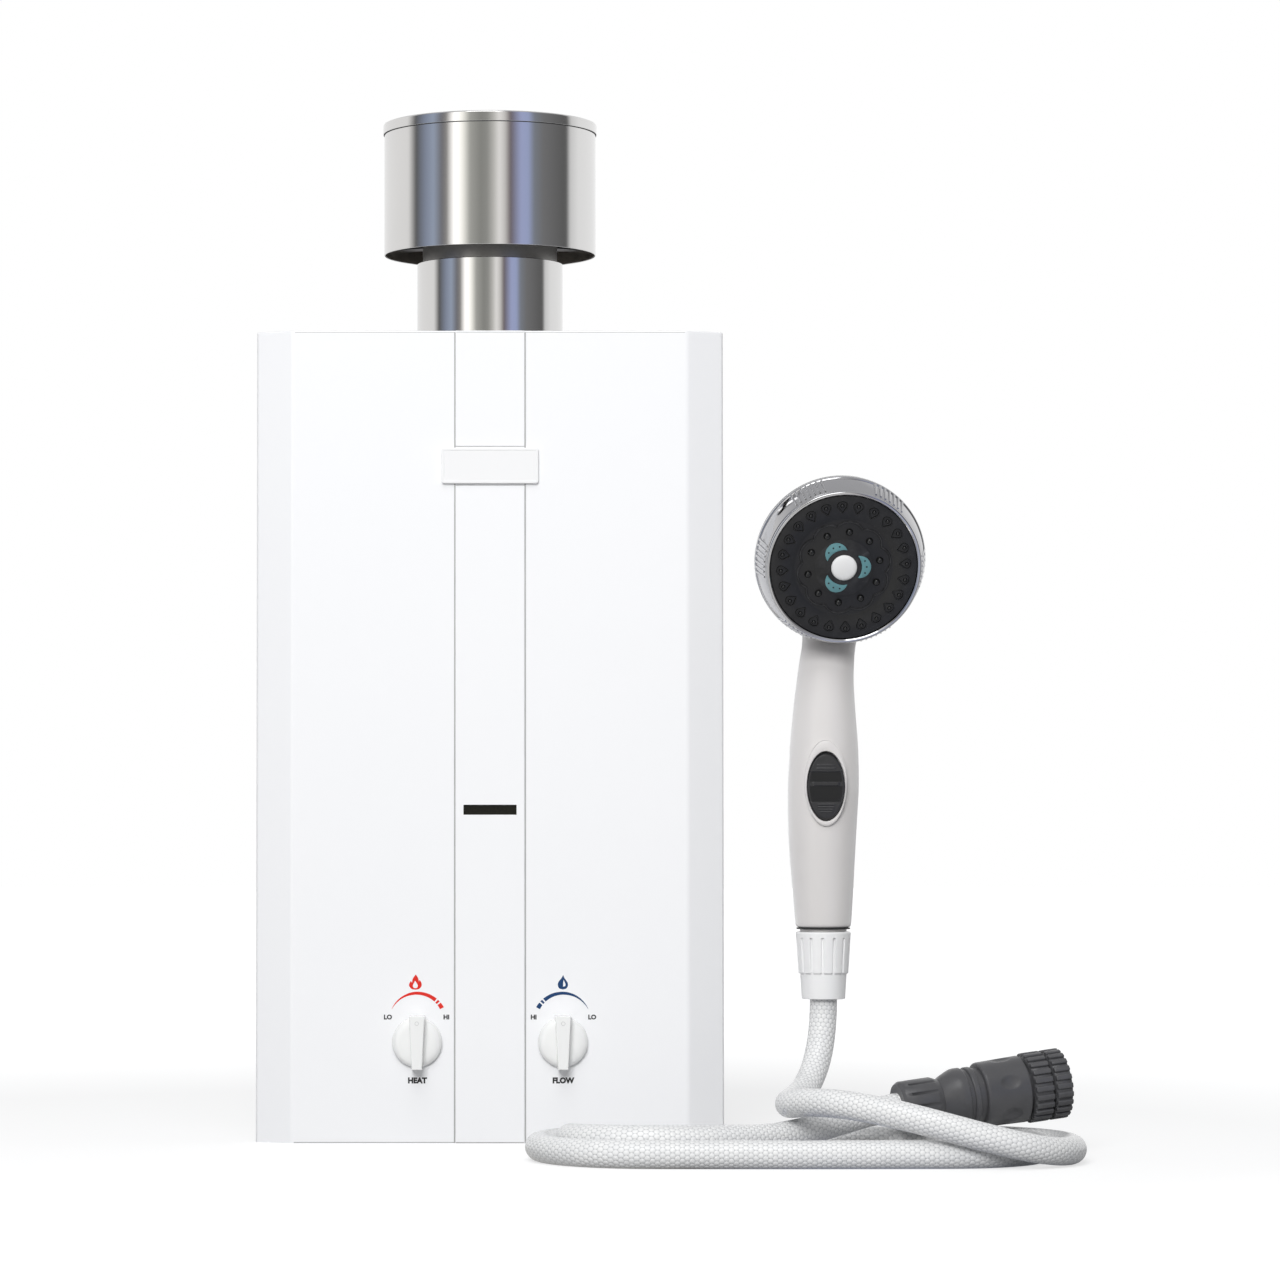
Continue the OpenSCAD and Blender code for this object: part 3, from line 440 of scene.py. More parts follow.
@dataclass(frozen=True)
class Braid:
    """White braid under a clear skin: a net of six-sided cells on the UV map, with painted shade in the
    creases between them.
    """

    name: str = "braided_hose"
    cell: Colour = (0.86, 0.86, 0.855)
    # grey of the painted shade in the creases
    crease_shade: Colour = (0.40, 0.41, 0.42)
    relief: float = 0.0005

    def build(self, effects: Effects) -> bpy.types.Material:
        """Makes the material; one unit of the UV map is one cell across.

        Args:
            effects: the shared shader node groups.

        Returns:
            The material.
        """
        material, tree, shader = new_material(self.name)
        tree.fill(shader, {"Coat Weight": 0.55, "Coat Roughness": 0.16, "Roughness": 0.42})
        place = tree.add("ShaderNodeUVMap", uv_map="braid").outputs[0]
        lengths = []
        for shift in (0.5, 0.0):
            moved = tree.vector("FRACTION", tree.vector("ADD", place, (shift, shift, 0.0)))
            centred = tree.vector("SUBTRACT", moved, (0.5, 0.5, 0.0))
            lengths.append(tree.vector("LENGTH", tree.vector("MULTIPLY", centred, (1.0, 1.732, 0.0))))
        away = tree.math("MINIMUM", *lengths)
        # painted shade: the creases between cells are greyed as if shade fell in them
        crease_shade = tree.span(away, 0.40, 0.55)
        dome = tree.math("SUBTRACT", 1.0, tree.math("MULTIPLY", tree.math("POWER", away, 2.0), 3.2))
        thread = {"Colour": self.cell, "Tone": (0.78, 0.785, 0.79), "Scale": 60.0, "Amount": 0.7}
        mottle = tree.group(effects.mottle, thread)
        colour = tree.mix(tree.math("MULTIPLY", crease_shade, 0.75), mottle.outputs[0], self.crease_shade)
        bump = tree.fill(tree.add("ShaderNodeBump"), {"Height": dome, "Distance": self.relief})
        tree.fill(shader, {"Base Color": colour, "Normal": bump.outputs[0]})
        return material


@dataclass(frozen=True)
class MicaScreen:
    """Smoked window with a fine dark mesh behind it."""

    name: str = "smoked_window"

    def build(self, effects: Effects) -> bpy.types.Material:
        """Makes the material.

        Args:
            effects: the shared shader node groups.

        Returns:
            The material.
        """
        material, tree, shader = new_material(self.name)
        tree.fill(shader, {"Coat Weight": 0.1, "Specular IOR Level": 0.22})
        mesh = {"Scale": 1500.0, "Roughness": 0.35, "Spread": 0.2, "Depth": 0.0001}
        grain = tree.group(effects.grain, mesh)
        share = tree.span(grain.outputs["Height"], 0.4, 0.62)
        tree.fill(shader, {
            "Base Color": tree.mix(share, (0.003, 0.003, 0.002), (0.015, 0.014, 0.008)),
            "Roughness": grain.outputs["Roughness"], "Normal": grain.outputs["Normal"],
        })
        return material


class FinishBook:
    """Every finish of the object, made once and found by the record's slot."""

    PLAIN = {
        "white_enamel": Finish(
            "stove_enamel", (0.925, 0.928, 0.94), (0.91, 0.915, 0.93), roughness=0.34, spread=0.05,
            grain=420.0, depth=0.000008, mottle=3.0, amount=0.5, coat=0.25,
        ),
        "badge_white": Finish(
            "badge_gloss", (0.90, 0.90, 0.905), (0.88, 0.885, 0.89), roughness=0.24, spread=0.05,
            grain=700.0, depth=0.00001, mottle=12.0, amount=0.5, coat=0.4,
        ),
        "zinc_steel": Finish(
            "zinc_sheet", (0.56, 0.57, 0.58), (0.42, 0.44, 0.46), roughness=0.38, spread=0.25,
            grain=260.0, mottle=90.0, amount=0.9, metallic=0.9, rub_and_shade=0.3,
        ),
        "screw_steel": Finish(
            "plated_screw", (0.62, 0.62, 0.62), (0.48, 0.48, 0.48), roughness=0.28, spread=0.15,
            grain=1500.0, mottle=60.0, amount=0.5, metallic=1.0, rub_and_shade=0.4,
        ),
        "dark_steel": Finish(
            "dull_strap", (0.10, 0.10, 0.105), (0.16, 0.155, 0.15), roughness=0.42, spread=0.15,
            grain=1200.0, mottle=60.0, amount=0.5, metallic=0.9, rub_and_shade=0.4, bright=(0.45, 0.45, 0.45),
        ),
        "copper": Finish(
            "bare_copper", (0.72, 0.36, 0.22), (0.42, 0.20, 0.13), roughness=0.30, spread=0.2,
            grain=800.0, mottle=26.0, amount=0.7, metallic=1.0, rub_and_shade=0.3, bright=(0.9, 0.6, 0.45),
        ),
        "burner_steel": Finish(
            "burner_sheet", (0.40, 0.42, 0.46), (0.22, 0.21, 0.24), roughness=0.36, spread=0.15,
            mottle=50.0, amount=0.6, metallic=1.0, rub_and_shade=0.3,
        ),
        "valve_alloy": Finish(
            "cast_valve", (0.46, 0.46, 0.43), (0.34, 0.34, 0.32), roughness=0.48, spread=0.15,
            grain=1600.0, depth=0.00009, mottle=60.0, amount=0.5, metallic=0.85, rub_and_shade=0.4,
        ),
        "brass": Finish(
            "turned_brass", (0.66, 0.47, 0.19), (0.45, 0.30, 0.11), roughness=0.24, spread=0.14,
            grain=1200.0, mottle=40.0, amount=0.5, metallic=1.0, rub_and_shade=0.5, bright=(0.95, 0.8, 0.5),
        ),
        "black_plastic": Finish(
            "black_moulding", (0.022, 0.022, 0.023), (0.035, 0.035, 0.036), roughness=0.45, spread=0.15,
            grain=1800.0, depth=0.00006, mottle=40.0, amount=0.5, rub_and_shade=0.4, bright=(0.08, 0.08, 0.08),
        ),
        "ceramic": Finish(
            "glazed_ceramic", (0.80, 0.78, 0.72), (0.70, 0.67, 0.60), roughness=0.22, mottle=80.0,
            amount=0.5, coat=0.5,
        ),
        "cell_wrap": Finish(
            "cell_wrap", (0.10, 0.13, 0.09), (0.07, 0.09, 0.06), roughness=0.28, grain=700.0,
            depth=0.00001, mottle=60.0, amount=0.5,
        ),
        "knob_white": Finish(
            "knob_gloss", (0.885, 0.89, 0.88), (0.865, 0.87, 0.86), roughness=0.22, spread=0.05,
            grain=600.0, depth=0.00001, mottle=30.0, amount=0.5, coat=0.4,
        ),
        "handset_white": Finish(
            "handset_satin", (0.685, 0.665, 0.655), (0.655, 0.63, 0.62), roughness=0.36, spread=0.06,
            grain=1400.0, depth=0.00003, mottle=16.0, amount=0.6, coat=0.15, sheen=0.7,
        ),
        "valve_plastic": Finish(
            "valve_moulding", (0.12, 0.12, 0.125), (0.15, 0.15, 0.15), roughness=0.5, spread=0.1,
            grain=1400.0, depth=0.00005,
        ),
        "rocker_black": Finish(
            "rocker_satin", (0.020, 0.020, 0.022), (0.032, 0.032, 0.034), roughness=0.24, spread=0.10,
            grain=1800.0, depth=0.00004, mottle=90.0, amount=0.5, rub_and_shade=0.5, bright=(0.09, 0.09, 0.10),
        ),
        # black rubber, also used for painted shade in narrow gaps
        "gasket_rubber": Finish(
            "rubber_and_gap_shade", (0.012, 0.012, 0.012), (0.02, 0.02, 0.02), roughness=0.6, spread=0.1,
            grain=1500.0, depth=0.00004,
        ),
        "face_black": Finish(
            "spray_face", (0.004, 0.004, 0.0044), (0.008, 0.008, 0.0084), roughness=0.40, spread=0.12,
            grain=1700.0, depth=0.00004, mottle=70.0, amount=0.6, rub_and_shade=0.4, bright=(0.07, 0.07, 0.074),
        ),
        "teal_plastic": Finish(
            "teal_field", (0.105, 0.25, 0.275), (0.085, 0.21, 0.235), roughness=0.42, spread=0.1,
            grain=1500.0, depth=0.00004, mottle=120.0, amount=0.5, rub_and_shade=0.3, bright=(0.3, 0.5, 0.52),
        ),
        "cap_white": Finish(
            "cap_gloss", (0.80, 0.80, 0.80), (0.77, 0.77, 0.77), roughness=0.26, spread=0.05,
            grain=700.0, depth=0.00001, mottle=60.0, amount=0.5, coat=0.3,
        ),
        "nut_white": Finish(
            "nut_satin", (0.86, 0.86, 0.86), (0.83, 0.83, 0.835), roughness=0.32, spread=0.06,
            grain=1200.0, mottle=50.0, amount=0.5, coat=0.2,
        ),
        "coupling_grey": Finish(
            "coupling_satin", (0.066, 0.066, 0.070), (0.084, 0.084, 0.088), roughness=0.34, spread=0.10,
            grain=1600.0, depth=0.00003, mottle=50.0, amount=0.6, rub_and_shade=0.35, bright=(0.15, 0.15, 0.16),
        ),
        "chrome": Finish(
            "bright_chrome", (0.55, 0.55, 0.56), (0.49, 0.49, 0.505), roughness=0.075, spread=0.05,
            depth=0.000012, mottle=30.0, amount=0.6, metallic=1.0,
        ),
        "stainless": Finish(
            "polished_stainless", (0.74, 0.735, 0.73), (0.70, 0.70, 0.70), roughness=0.105, spread=0.05,
            depth=0.00005, mottle=8.0, amount=0.6, metallic=1.0, stretch=(9.0, 9.0, 2.0),
        ),
    }
    EXTRA = {
        # grey for painted shade in narrow gaps and under bends
        "gap_shade_grey": Finish(
            "seam_shadow", (0.42, 0.42, 0.42), (0.50, 0.50, 0.49), roughness=0.6, spread=0.1,
            mottle=30.0, amount=0.6,
        ),
        "ink_red": Finish(
            "red_print", (0.74, 0.024, 0.013), (0.68, 0.02, 0.012), roughness=0.35, spread=0.06,
            grain=2500.0, depth=0.000004, mottle=200.0, amount=0.4,
        ),
        "ink_blue": Finish(
            "blue_print", (0.004, 0.045, 0.145), (0.004, 0.038, 0.12), roughness=0.35, spread=0.06,
            grain=2500.0, depth=0.000004, mottle=200.0, amount=0.4,
        ),
        "ink_grey": Finish(
            "grey_print", (0.018, 0.017, 0.018), (0.03, 0.029, 0.03), roughness=0.4, spread=0.06,
            grain=2500.0, depth=0.000004, mottle=200.0, amount=0.4,
        ),
        "mark_grey": Finish(
            "mark_shadow", (0.58, 0.58, 0.575), (0.64, 0.64, 0.635), roughness=0.4, spread=0.1,
            mottle=30.0, amount=0.6,
        ),
        # darkened steel for painted shade inside the cap
        "inner_shade_steel": Finish(
            "drum_inner_shade", (0.26, 0.235, 0.205), (0.12, 0.108, 0.095), roughness=0.30,
            spread=0.2, grain=700.0, depth=0.00003, mottle=28.0, amount=0.9, metallic=0.55,
        ),
        "dull_steel": Finish(
            "dull_steel", (0.50, 0.49, 0.475), (0.33, 0.32, 0.31), roughness=0.30, spread=0.15,
            grain=600.0, depth=0.00003, mottle=24.0, amount=0.8, metallic=0.4,
        ),
        # near black for painted shade in holes and recesses
        "shade_black": Finish(
            "hole_and_recess_shade", (0.004, 0.004, 0.004), (0.008, 0.008, 0.008), roughness=0.5, spread=0.1,
            grain=2000.0,
        ),
        "nozzle_gloss": Finish(
            "nozzle_rubber", (0.003, 0.003, 0.003), (0.006, 0.006, 0.006), roughness=0.20, grain=1700.0,
            depth=0.00003, mottle=70.0, amount=0.5, coat=0.3,
        ),
        # dark teal for painted shade in pin holes
        "pin_hole_shade": Finish(
            "pin_hole_shade", (0.01, 0.02, 0.022), (0.006, 0.012, 0.013), roughness=0.5, spread=0.1,
            grain=2000.0,
        ),
    }

    def __init__(self) -> None:
        """Builds the shared groups and the special finishes."""
        self.effects = Effects()
        self.made: dict[str, bpy.types.Material] = {}
        self.special = {"mica_glass": MicaScreen(), "hose_white": Braid()}

    def get(self, slot: str) -> bpy.types.Material:
        """The material of a slot, made at its first use.

        Args:
            slot: a material slot of the record, or the name of an extra finish.

        Returns:
            The material.
        """
        if slot not in self.made:
            maker = self.special.get(slot) or self.PLAIN.get(slot) or self.EXTRA[slot]
            self.made[slot] = maker.build(self.effects)
        return self.made[slot]


# Mesh helpers --------------------------------------------------------------


class Sculptor:
    """Makes finished pieces from bmesh data, and keeps count of them."""

    def __init__(self, book: FinishBook, record: dict) -> None:
        """Keeps the finishes, and which slot and body each node has.

        Args:
            book: the finishes.
            record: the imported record.
        """
        self.book = book
        self.slots = {part["node"]: part["material_slot"] for part in record["subparts"]}
        bodies = record["behaviour"]["bodies"]
        self.bodies = {node: body for body, nodes in bodies.items() for node in nodes}

    def piece(
        self, bm: Shape, name: str, body: str, slot: str, place: Place = Place.WORLD,
        replaces: Sequence[str] = (), **looks: object,
    ) -> Thing:
        """Turns a bmesh into a piece of the object.

        Args:
            bm: the shape in the place's frame, in millimetres; freed here.
            name: the piece's name.
            body: the CAD body that it rides on.
            slot: the record's material slot.
            place: the frame that the shape is drawn in.
            replaces: CAD nodes that the piece stands for.
            looks: sharp, weighted and finish, as in dress().

        Returns:
            The new object.
        """
        bmesh.ops.remove_doubles(bm, verts=bm.verts, dist=WELD)
        bmesh.ops.recalc_face_normals(bm, faces=bm.faces)
        bm.transform(place.matrix())
        return self.dress(as_mesh(bm, name), name, body, slot, replaces, **looks)

    def dress(
        self, mesh: bpy.types.Mesh, name: str, body: str, slot: str, replaces: Sequence[str] = (),
        sharp: float = 35.0, weighted: bool = False, finish: Optional[str] = None,
    ) -> Thing:
        """Makes an object of a mesh, with its finish, body and slot.

        Args:
            mesh: the shape in the scene's frame, in metres.
            name: the piece's name.
            body: the CAD body that it rides on.
            slot: the record's material slot.
            replaces: CAD nodes that the piece stands for.
            sharp: edges sharper than this angle stay crisp, in degrees.
            weighted: whether large faces keep flat shading beside bevels.
            finish: an extra finish that is used instead of the slot's.

        Returns:
            The new object.
        """
        mesh.shade_smooth()
        mesh.set_sharp_from_angle(angle=math.radians(sharp))
        mesh.materials.clear()
        mesh.materials.append(self.book.get(finish or slot))
        made = show(name, mesh)
        if weighted:
            made.modifiers.new("flat_faces", "WEIGHTED_NORMAL").keep_sharp = True
        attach(made, body)
        if replaces:
            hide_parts(*replaces)
        LOG.info("piece %s on %s, %d faces", name, body, len(mesh.polygons))
        return made

    def cut(self, made: Thing, tools: Sequence[Shape], place: Place = Place.WORLD) -> None:
        """Cuts tool shapes out of a piece for good.

        Args:
            made: the piece.
            tools: closed shapes in the place's frame, in millimetres; freed here.
            place: the frame of the tools.
        """
        for bm in tools:
            bmesh.ops.recalc_face_normals(bm, faces=bm.faces)
            bm.transform(place.matrix())
            mesh = as_mesh(bm, "cutter")
            cutter = show("cutter", mesh)
            modifier = made.modifiers.new("cut", "BOOLEAN")
            modifier.operation = "DIFFERENCE"
            modifier.solver = "EXACT"
            modifier.object = cutter
            self.bake(made)
            bpy.data.objects.remove(cutter)
            bpy.data.meshes.remove(mesh)

    def bake(self, made: Thing) -> None:
        """Applies every modifier of a piece but weighted normals, which is put back.

        Args:
            made: the piece.
        """
        kept = [m.name for m in made.modifiers if m.type == "WEIGHTED_NORMAL"]
        for name in kept:
            made.modifiers.remove(made.modifiers[name])
        bpy.context.view_layer.update()
        shape = made.evaluated_get(bpy.context.evaluated_depsgraph_get())
        mesh = bpy.data.meshes.new_from_object(shape)
        old = made.data
        made.modifiers.clear()
        made.data = mesh
        bpy.data.meshes.remove(old)
        mesh.name = made.name
        for name in kept:
            made.modifiers.new(name, "WEIGHTED_NORMAL").keep_sharp = True

    def smooth_copy(self, node: str, sharp: float = 28.0, bevel: float = 0.0) -> Thing:
        """A merged copy of a CAD node, smoothly shaded, that stands for it.

        Args:
            node: the CAD node.
            sharp: edges sharper than this angle stay crisp, in degrees.
            bevel: radius of its rounded edges in millimetres, or 0.

        Returns:
            The new object.
        """
        bm = bmesh.new()
        bm.from_mesh(frame["nodes"][node].data)
        bmesh.ops.remove_doubles(bm, verts=bm.verts, dist=2e-6)
        bmesh.ops.dissolve_limit(bm, angle_limit=math.radians(0.4), verts=bm.verts, edges=bm.edges)
        if bevel:
            keen = [
                e for e in bm.edges
                if len(e.link_faces) == 2 and e.calc_face_angle(0.0) > math.radians(50)
            ]
            round_edges(bm, keen, bevel * MM, 2, clamp=True)
        name = node + "_dressed"
        body, slot = self.bodies[node], self.slots[node]
        return self.dress(as_mesh(bm, name), name, body, slot, [node], sharp, bool(bevel))

    def paint_nodes(self) -> None:
        """Gives every CAD node that still shows its own finish."""
        for name, node in frame["nodes"].items():
            node.data.materials.clear()
            node.data.materials.append(self.book.get(self.slots[name]))


def show(name: str, data: bpy.types.ID) -> Thing:
    """Makes an object of its data, and puts it in the scene.

    Args:
        name: the object's name.
        data: its mesh, curve, lamp or camera.

    Returns:
        The new object.
    """
    made = bpy.data.objects.new(name, data)
    bpy.context.scene.collection.objects.link(made)
    return made


def as_mesh(bm: Shape, name: str) -> bpy.types.Mesh:
    """Turns a bmesh into a mesh, and frees it.

    Args:
        bm: the bmesh.
        name: the mesh's name.

    Returns:
        The mesh.
    """
    mesh = bpy.data.meshes.new(name)
    bm.to_mesh(mesh)
    bm.free()
    return mesh


def merge(bm: Shape, other: Shape) -> None:
    """Adds another shape to a bmesh.

    Args:
        bm: the bmesh that takes it.
        other: the shape; freed here.
    """
    mesh = as_mesh(other, "merged")
    bm.from_mesh(mesh)
    bpy.data.meshes.remove(mesh)


def round_edges(
    bm: Shape, edges: Sequence[bmesh.types.BMEdge], radius: float, segments: int,
    clamp: bool = False,
) -> None:
    """Rounds edges.

    Args:
        bm: the bmesh.
        edges: the edges.
        radius: how wide the rounding is.
        segments: faces across it.
        clamp: whether it gives way where there is no room.
    """
    bmesh.ops.bevel(
        bm, geom=list(edges), offset=radius, segments=segments, profile=0.5, affect="EDGES",
        material=-1, clamp_overlap=clamp,
    )


def full_turn(count: int, start: float = 0.0) -> list[float]:
    """Angles of a full turn in count even steps from start, in radians."""
    return [start + 2 * math.pi * i / count for i in range(count)]


def circle(r: float, z: float, turns: Sequence[float]) -> list[Vector]:
    """Points of a level ring of radius r at height z, one at each angle of turns."""
    return [Vector((r * math.cos(a), r * math.sin(a), z)) for a in turns]


def loft(bm: Shape, rings: Sequence[Sequence[Point]], ends: bool = True, loop: bool = False) -> None:
    """Skins rings with quads, corner to corner.

    Args:
        bm: the bmesh that takes it.
        rings: rings of points, each with the same count.
        ends: whether the first and last ring are closed with a face.
        loop: whether the last ring is joined to the first.
    """
    rows = [[bm.verts.new(p) for p in ring] for ring in rings]
    pairs = list(zip(rows, rows[1:]))
    if loop:
        pairs.append((rows[-1], rows[0]))
    for a, b in pairs:
        for i in range(len(a)):
            n = (i + 1) % len(a)
            bm.faces.new((a[i], a[n], b[n], b[i]))
    if ends and not loop:
        bm.faces.new(rows[0][::-1])
        bm.faces.new(rows[-1])


def soft(value: float, low: float, high: float) -> float:
    """0 below low, 1 above high, and an eased ramp between."""
    t = min(1.0, max(0.0, (value - low) / (high - low)))
    return t * t * (3 - 2 * t)


def slab(bm: Shape, rows: Sequence[Sequence[Vector]], foot: float, flat: bool = True) -> None:
    """Adds a closed body under a grid of points.

    Args:
        bm: the bmesh that takes it.
        rows: rows of points of its top, each with the same count.
        foot: height of its flat foot, or how far its foot lies under the top.
        flat: whether the foot is flat.
    """
    top = [[bm.verts.new(p) for p in row] for row in rows]
    low = [[bm.verts.new((p.x, p.y, foot if flat else p.z - foot)) for p in row] for row in rows]
    for sheet in (top, low):
        for a, b in zip(sheet, sheet[1:]):
            for j in range(len(a) - 1):
                corners = (a[j], a[j + 1], b[j + 1], b[j])
                bm.faces.new(corners if sheet is top else corners[::-1])
    edges = []
    for sheet in (top, low):
        right = [row[-1] for row in sheet[1:-1]]
        left = [row[0] for row in sheet[-2:0:-1]]
        edges.append(sheet[0] + right + sheet[-1][::-1] + left)
    for i in range(len(edges[0])):
        n = (i + 1) % len(edges[0])
        bm.faces.new((edges[0][n], edges[0][i], edges[1][i], edges[1][n]))


def rounded(w: float, h: float, r: float, z: float) -> list[Vector]:
    """Points of a level rectangle with round corners.

    Args:
        w: its width.
        h: its height on the panel.
        r: the radius of its corners.
        z: how far it stands off.

    Returns:
        The points.
    """
    line = []
    x, y = w / 2 - r, h / 2 - r
    for cx, cy, start in ((x, y, 0), (-x, y, 90), (-x, -y, 180), (x, -y, 270)):
        for a in range(0, 91, 15):
            turn = math.radians(start + a)
            line.append(Vector((cx + r * math.cos(turn), cy + r * math.sin(turn), z)))
    return line


def spun(profile: Sequence[Point], steps: int = 96, closed: bool = False) -> Shape:
    """Turns a profile about the Z axis.

    Args:
        profile: its points, each a radius and a height.
        steps: how many faces go round.
        closed: whether the last point joins the first, as in a ring's section.

    Returns:
        A new bmesh.
    """
    bm = bmesh.new()
    verts = [bm.verts.new((r, 0.0, z)) for r, z in profile]
    edges = [bm.edges.new(pair) for pair in zip(verts, verts[1:])]
    if closed:
        edges.append(bm.edges.new((verts[-1], verts[0])))
    bmesh.ops.spin(
        bm, geom=verts + edges, cent=(0, 0, 0), axis=(0, 0, 1), dvec=(0, 0, 0), angle=2 * math.pi,
        steps=steps, use_merge=True, use_duplicate=False,
    )
    return bm


def ellipse(w: float, h: float, z: float, y: float = 0.0) -> list[Vector]:
    """Points of an ellipse w wide and h high at height z, its middle at y."""
    return [Vector((w / 2 * math.cos(a), y + h / 2 * math.sin(a), z)) for a in full_turn(72)]


def block(
    bm: Shape, low: Point, high: Point, bevel: float = 0.0, segments: int = 3,
    turn: Optional[Matrix] = None,
) -> Shape:
    """Adds a box with rounded edges.

    Args:
        bm: the bmesh that takes it.
        low: its lowest corner.
        high: its highest corner.
        bevel: radius of its edges, or 0.
        segments: faces across each rounded edge.
        turn: a matrix that places the box.

    Returns:
        The same bmesh.
    """
    before = set(bm.verts)
    middle = (Vector(low) + Vector(high)) / 2
    size = Vector(high) - Vector(low)
    place = Matrix.Translation(middle) @ Matrix.Diagonal((*size, 1.0))
    made = bmesh.ops.create_cube(bm, size=1.0, matrix=place)
    if bevel:
        round_edges(bm, {e for v in made["verts"] for e in v.link_edges}, bevel, segments)
    if turn is not None:
        bmesh.ops.transform(bm, matrix=turn, verts=[v for v in bm.verts if v not in before])
    return bm


def rod(bm: Shape, radius: float, depth: float, place: Matrix, segments: int) -> Shape:
    """Adds a closed cylinder.

    Args:
        bm: the bmesh that takes it.
        radius: its radius.
        depth: its length, along the place's Z axis.
        place: the matrix of its middle.
        segments: faces round it.

    Returns:
        The same bmesh.
    """
    bmesh.ops.create_cone(
        bm, cap_ends=True, segments=segments, radius1=radius, radius2=radius, depth=depth,
        matrix=place,
    )
    return bm


def prism(bm: Shape, outline: Sequence[Point], low: float, high: float, bevel: float = 0.0) -> None:
    """Adds a flat outline of (x, y) points drawn out from low to high.

    Args:
        bm: the bmesh that takes it.
        outline: the corners in order.
        low: height of the lower face.
        high: height of the upper face.
        bevel: radius of the upper rim, or 0.
    """
    face = bm.faces.new([bm.verts.new((x, y, low)) for x, y in outline])
    top = bmesh.ops.extrude_face_region(bm, geom=[face])
    verts = [v for v in top["geom"] if isinstance(v, bmesh.types.BMVert)]
    bmesh.ops.translate(bm, vec=(0, 0, high - low), verts=verts)
    if bevel:
        rim = [e for e in top["geom"] if isinstance(e, bmesh.types.BMEdge)]
        round_edges(bm, rim, bevel, 2)


def ridge(bm: Shape, line: Sequence[Point], width: float, base: float, top: float) -> None:
    """Adds a raised bead along a closed flat line.

    Args:
        bm: the bmesh that takes it.
        line: the line's (x, y) points.
        width: the bead's width.
        base: height of its foot.
        top: height of its top.
    """
    count = len(line)
    rings: list[list[Vector]] = [[], [], [], []]
    for i, (x, y) in enumerate(line):
        ahead, behind = line[(i + 1) % count], line[i - 1]
        way = Vector((ahead[0] - behind[0], ahead[1] - behind[1])).normalized()
        side = Vector((way.y, -way.x)) * width / 2
        for ring, share, z in zip(rings, (1.0, 0.35, -0.35, -1.0), (base, top, top, base)):
            ring.append(Vector((x + side.x * share, y + side.y * share, z)))
    loft(bm, rings, ends=False, loop=True)


def curve_through(points: Sequence[Point], steps: int, closed: bool = False) -> list[Vector]:
    """A smooth line through points.

    Args:
        points: what it passes through.
        steps: how many pieces each stretch is cut into.
        closed: whether it returns to the first point.

    Returns:
        The line's points.
    """
    at = [Vector(p) for p in points]
    count = len(at)
    line: list[Vector] = []
    for i in range(count if closed else count - 1):
        if closed:
            a, b, c, d = (at[(i + k) % count] for k in (-1, 0, 1, 2))
        else:
            b, c = at[i], at[i + 1]
            a = at[i - 1] if i else b * 2 - c
            d = at[i + 2] if i + 2 < count else c * 2 - b
        for k in range(steps):
            t = k / steps
            square, cube = 2 * a - 5 * b + 4 * c - d, 3 * b - a - 3 * c + d
            line.append(0.5 * (2 * b + (c - a) * t + square * t**2 + cube * t**3))
    return line if closed else line + [at[-1]]


def relaxed(points: Sequence[Point], step: float, reach: int, rounds: int = 3) -> list[Vector]:
    """A line through points in even steps, with its corners eased and its ends kept.

    Args:
        points: the corners.
        step: the distance between the points returned.
        reach: how many points on each side are averaged.
        rounds: how often.

    Returns:
        The line's points.
    """
    line: list[Vector] = []
    for a, b in zip(points, points[1:]):
        a, b = Vector(a), Vector(b)
        count = max(1, round((b - a).length / step))
        line += [a.lerp(b, k / count) for k in range(count)]
    line.append(Vector(points[-1]))
    last = len(line) - 1
    for _ in range(rounds):
        eased = []
        for i in range(last + 1):
            near = min(reach, i, last - i)
            eased.append(sum(line[i - near:i + near + 1], Vector()) / (2 * near + 1))
        line = eased
    return line


# Sub-assemblies ------------------------------------------------------------


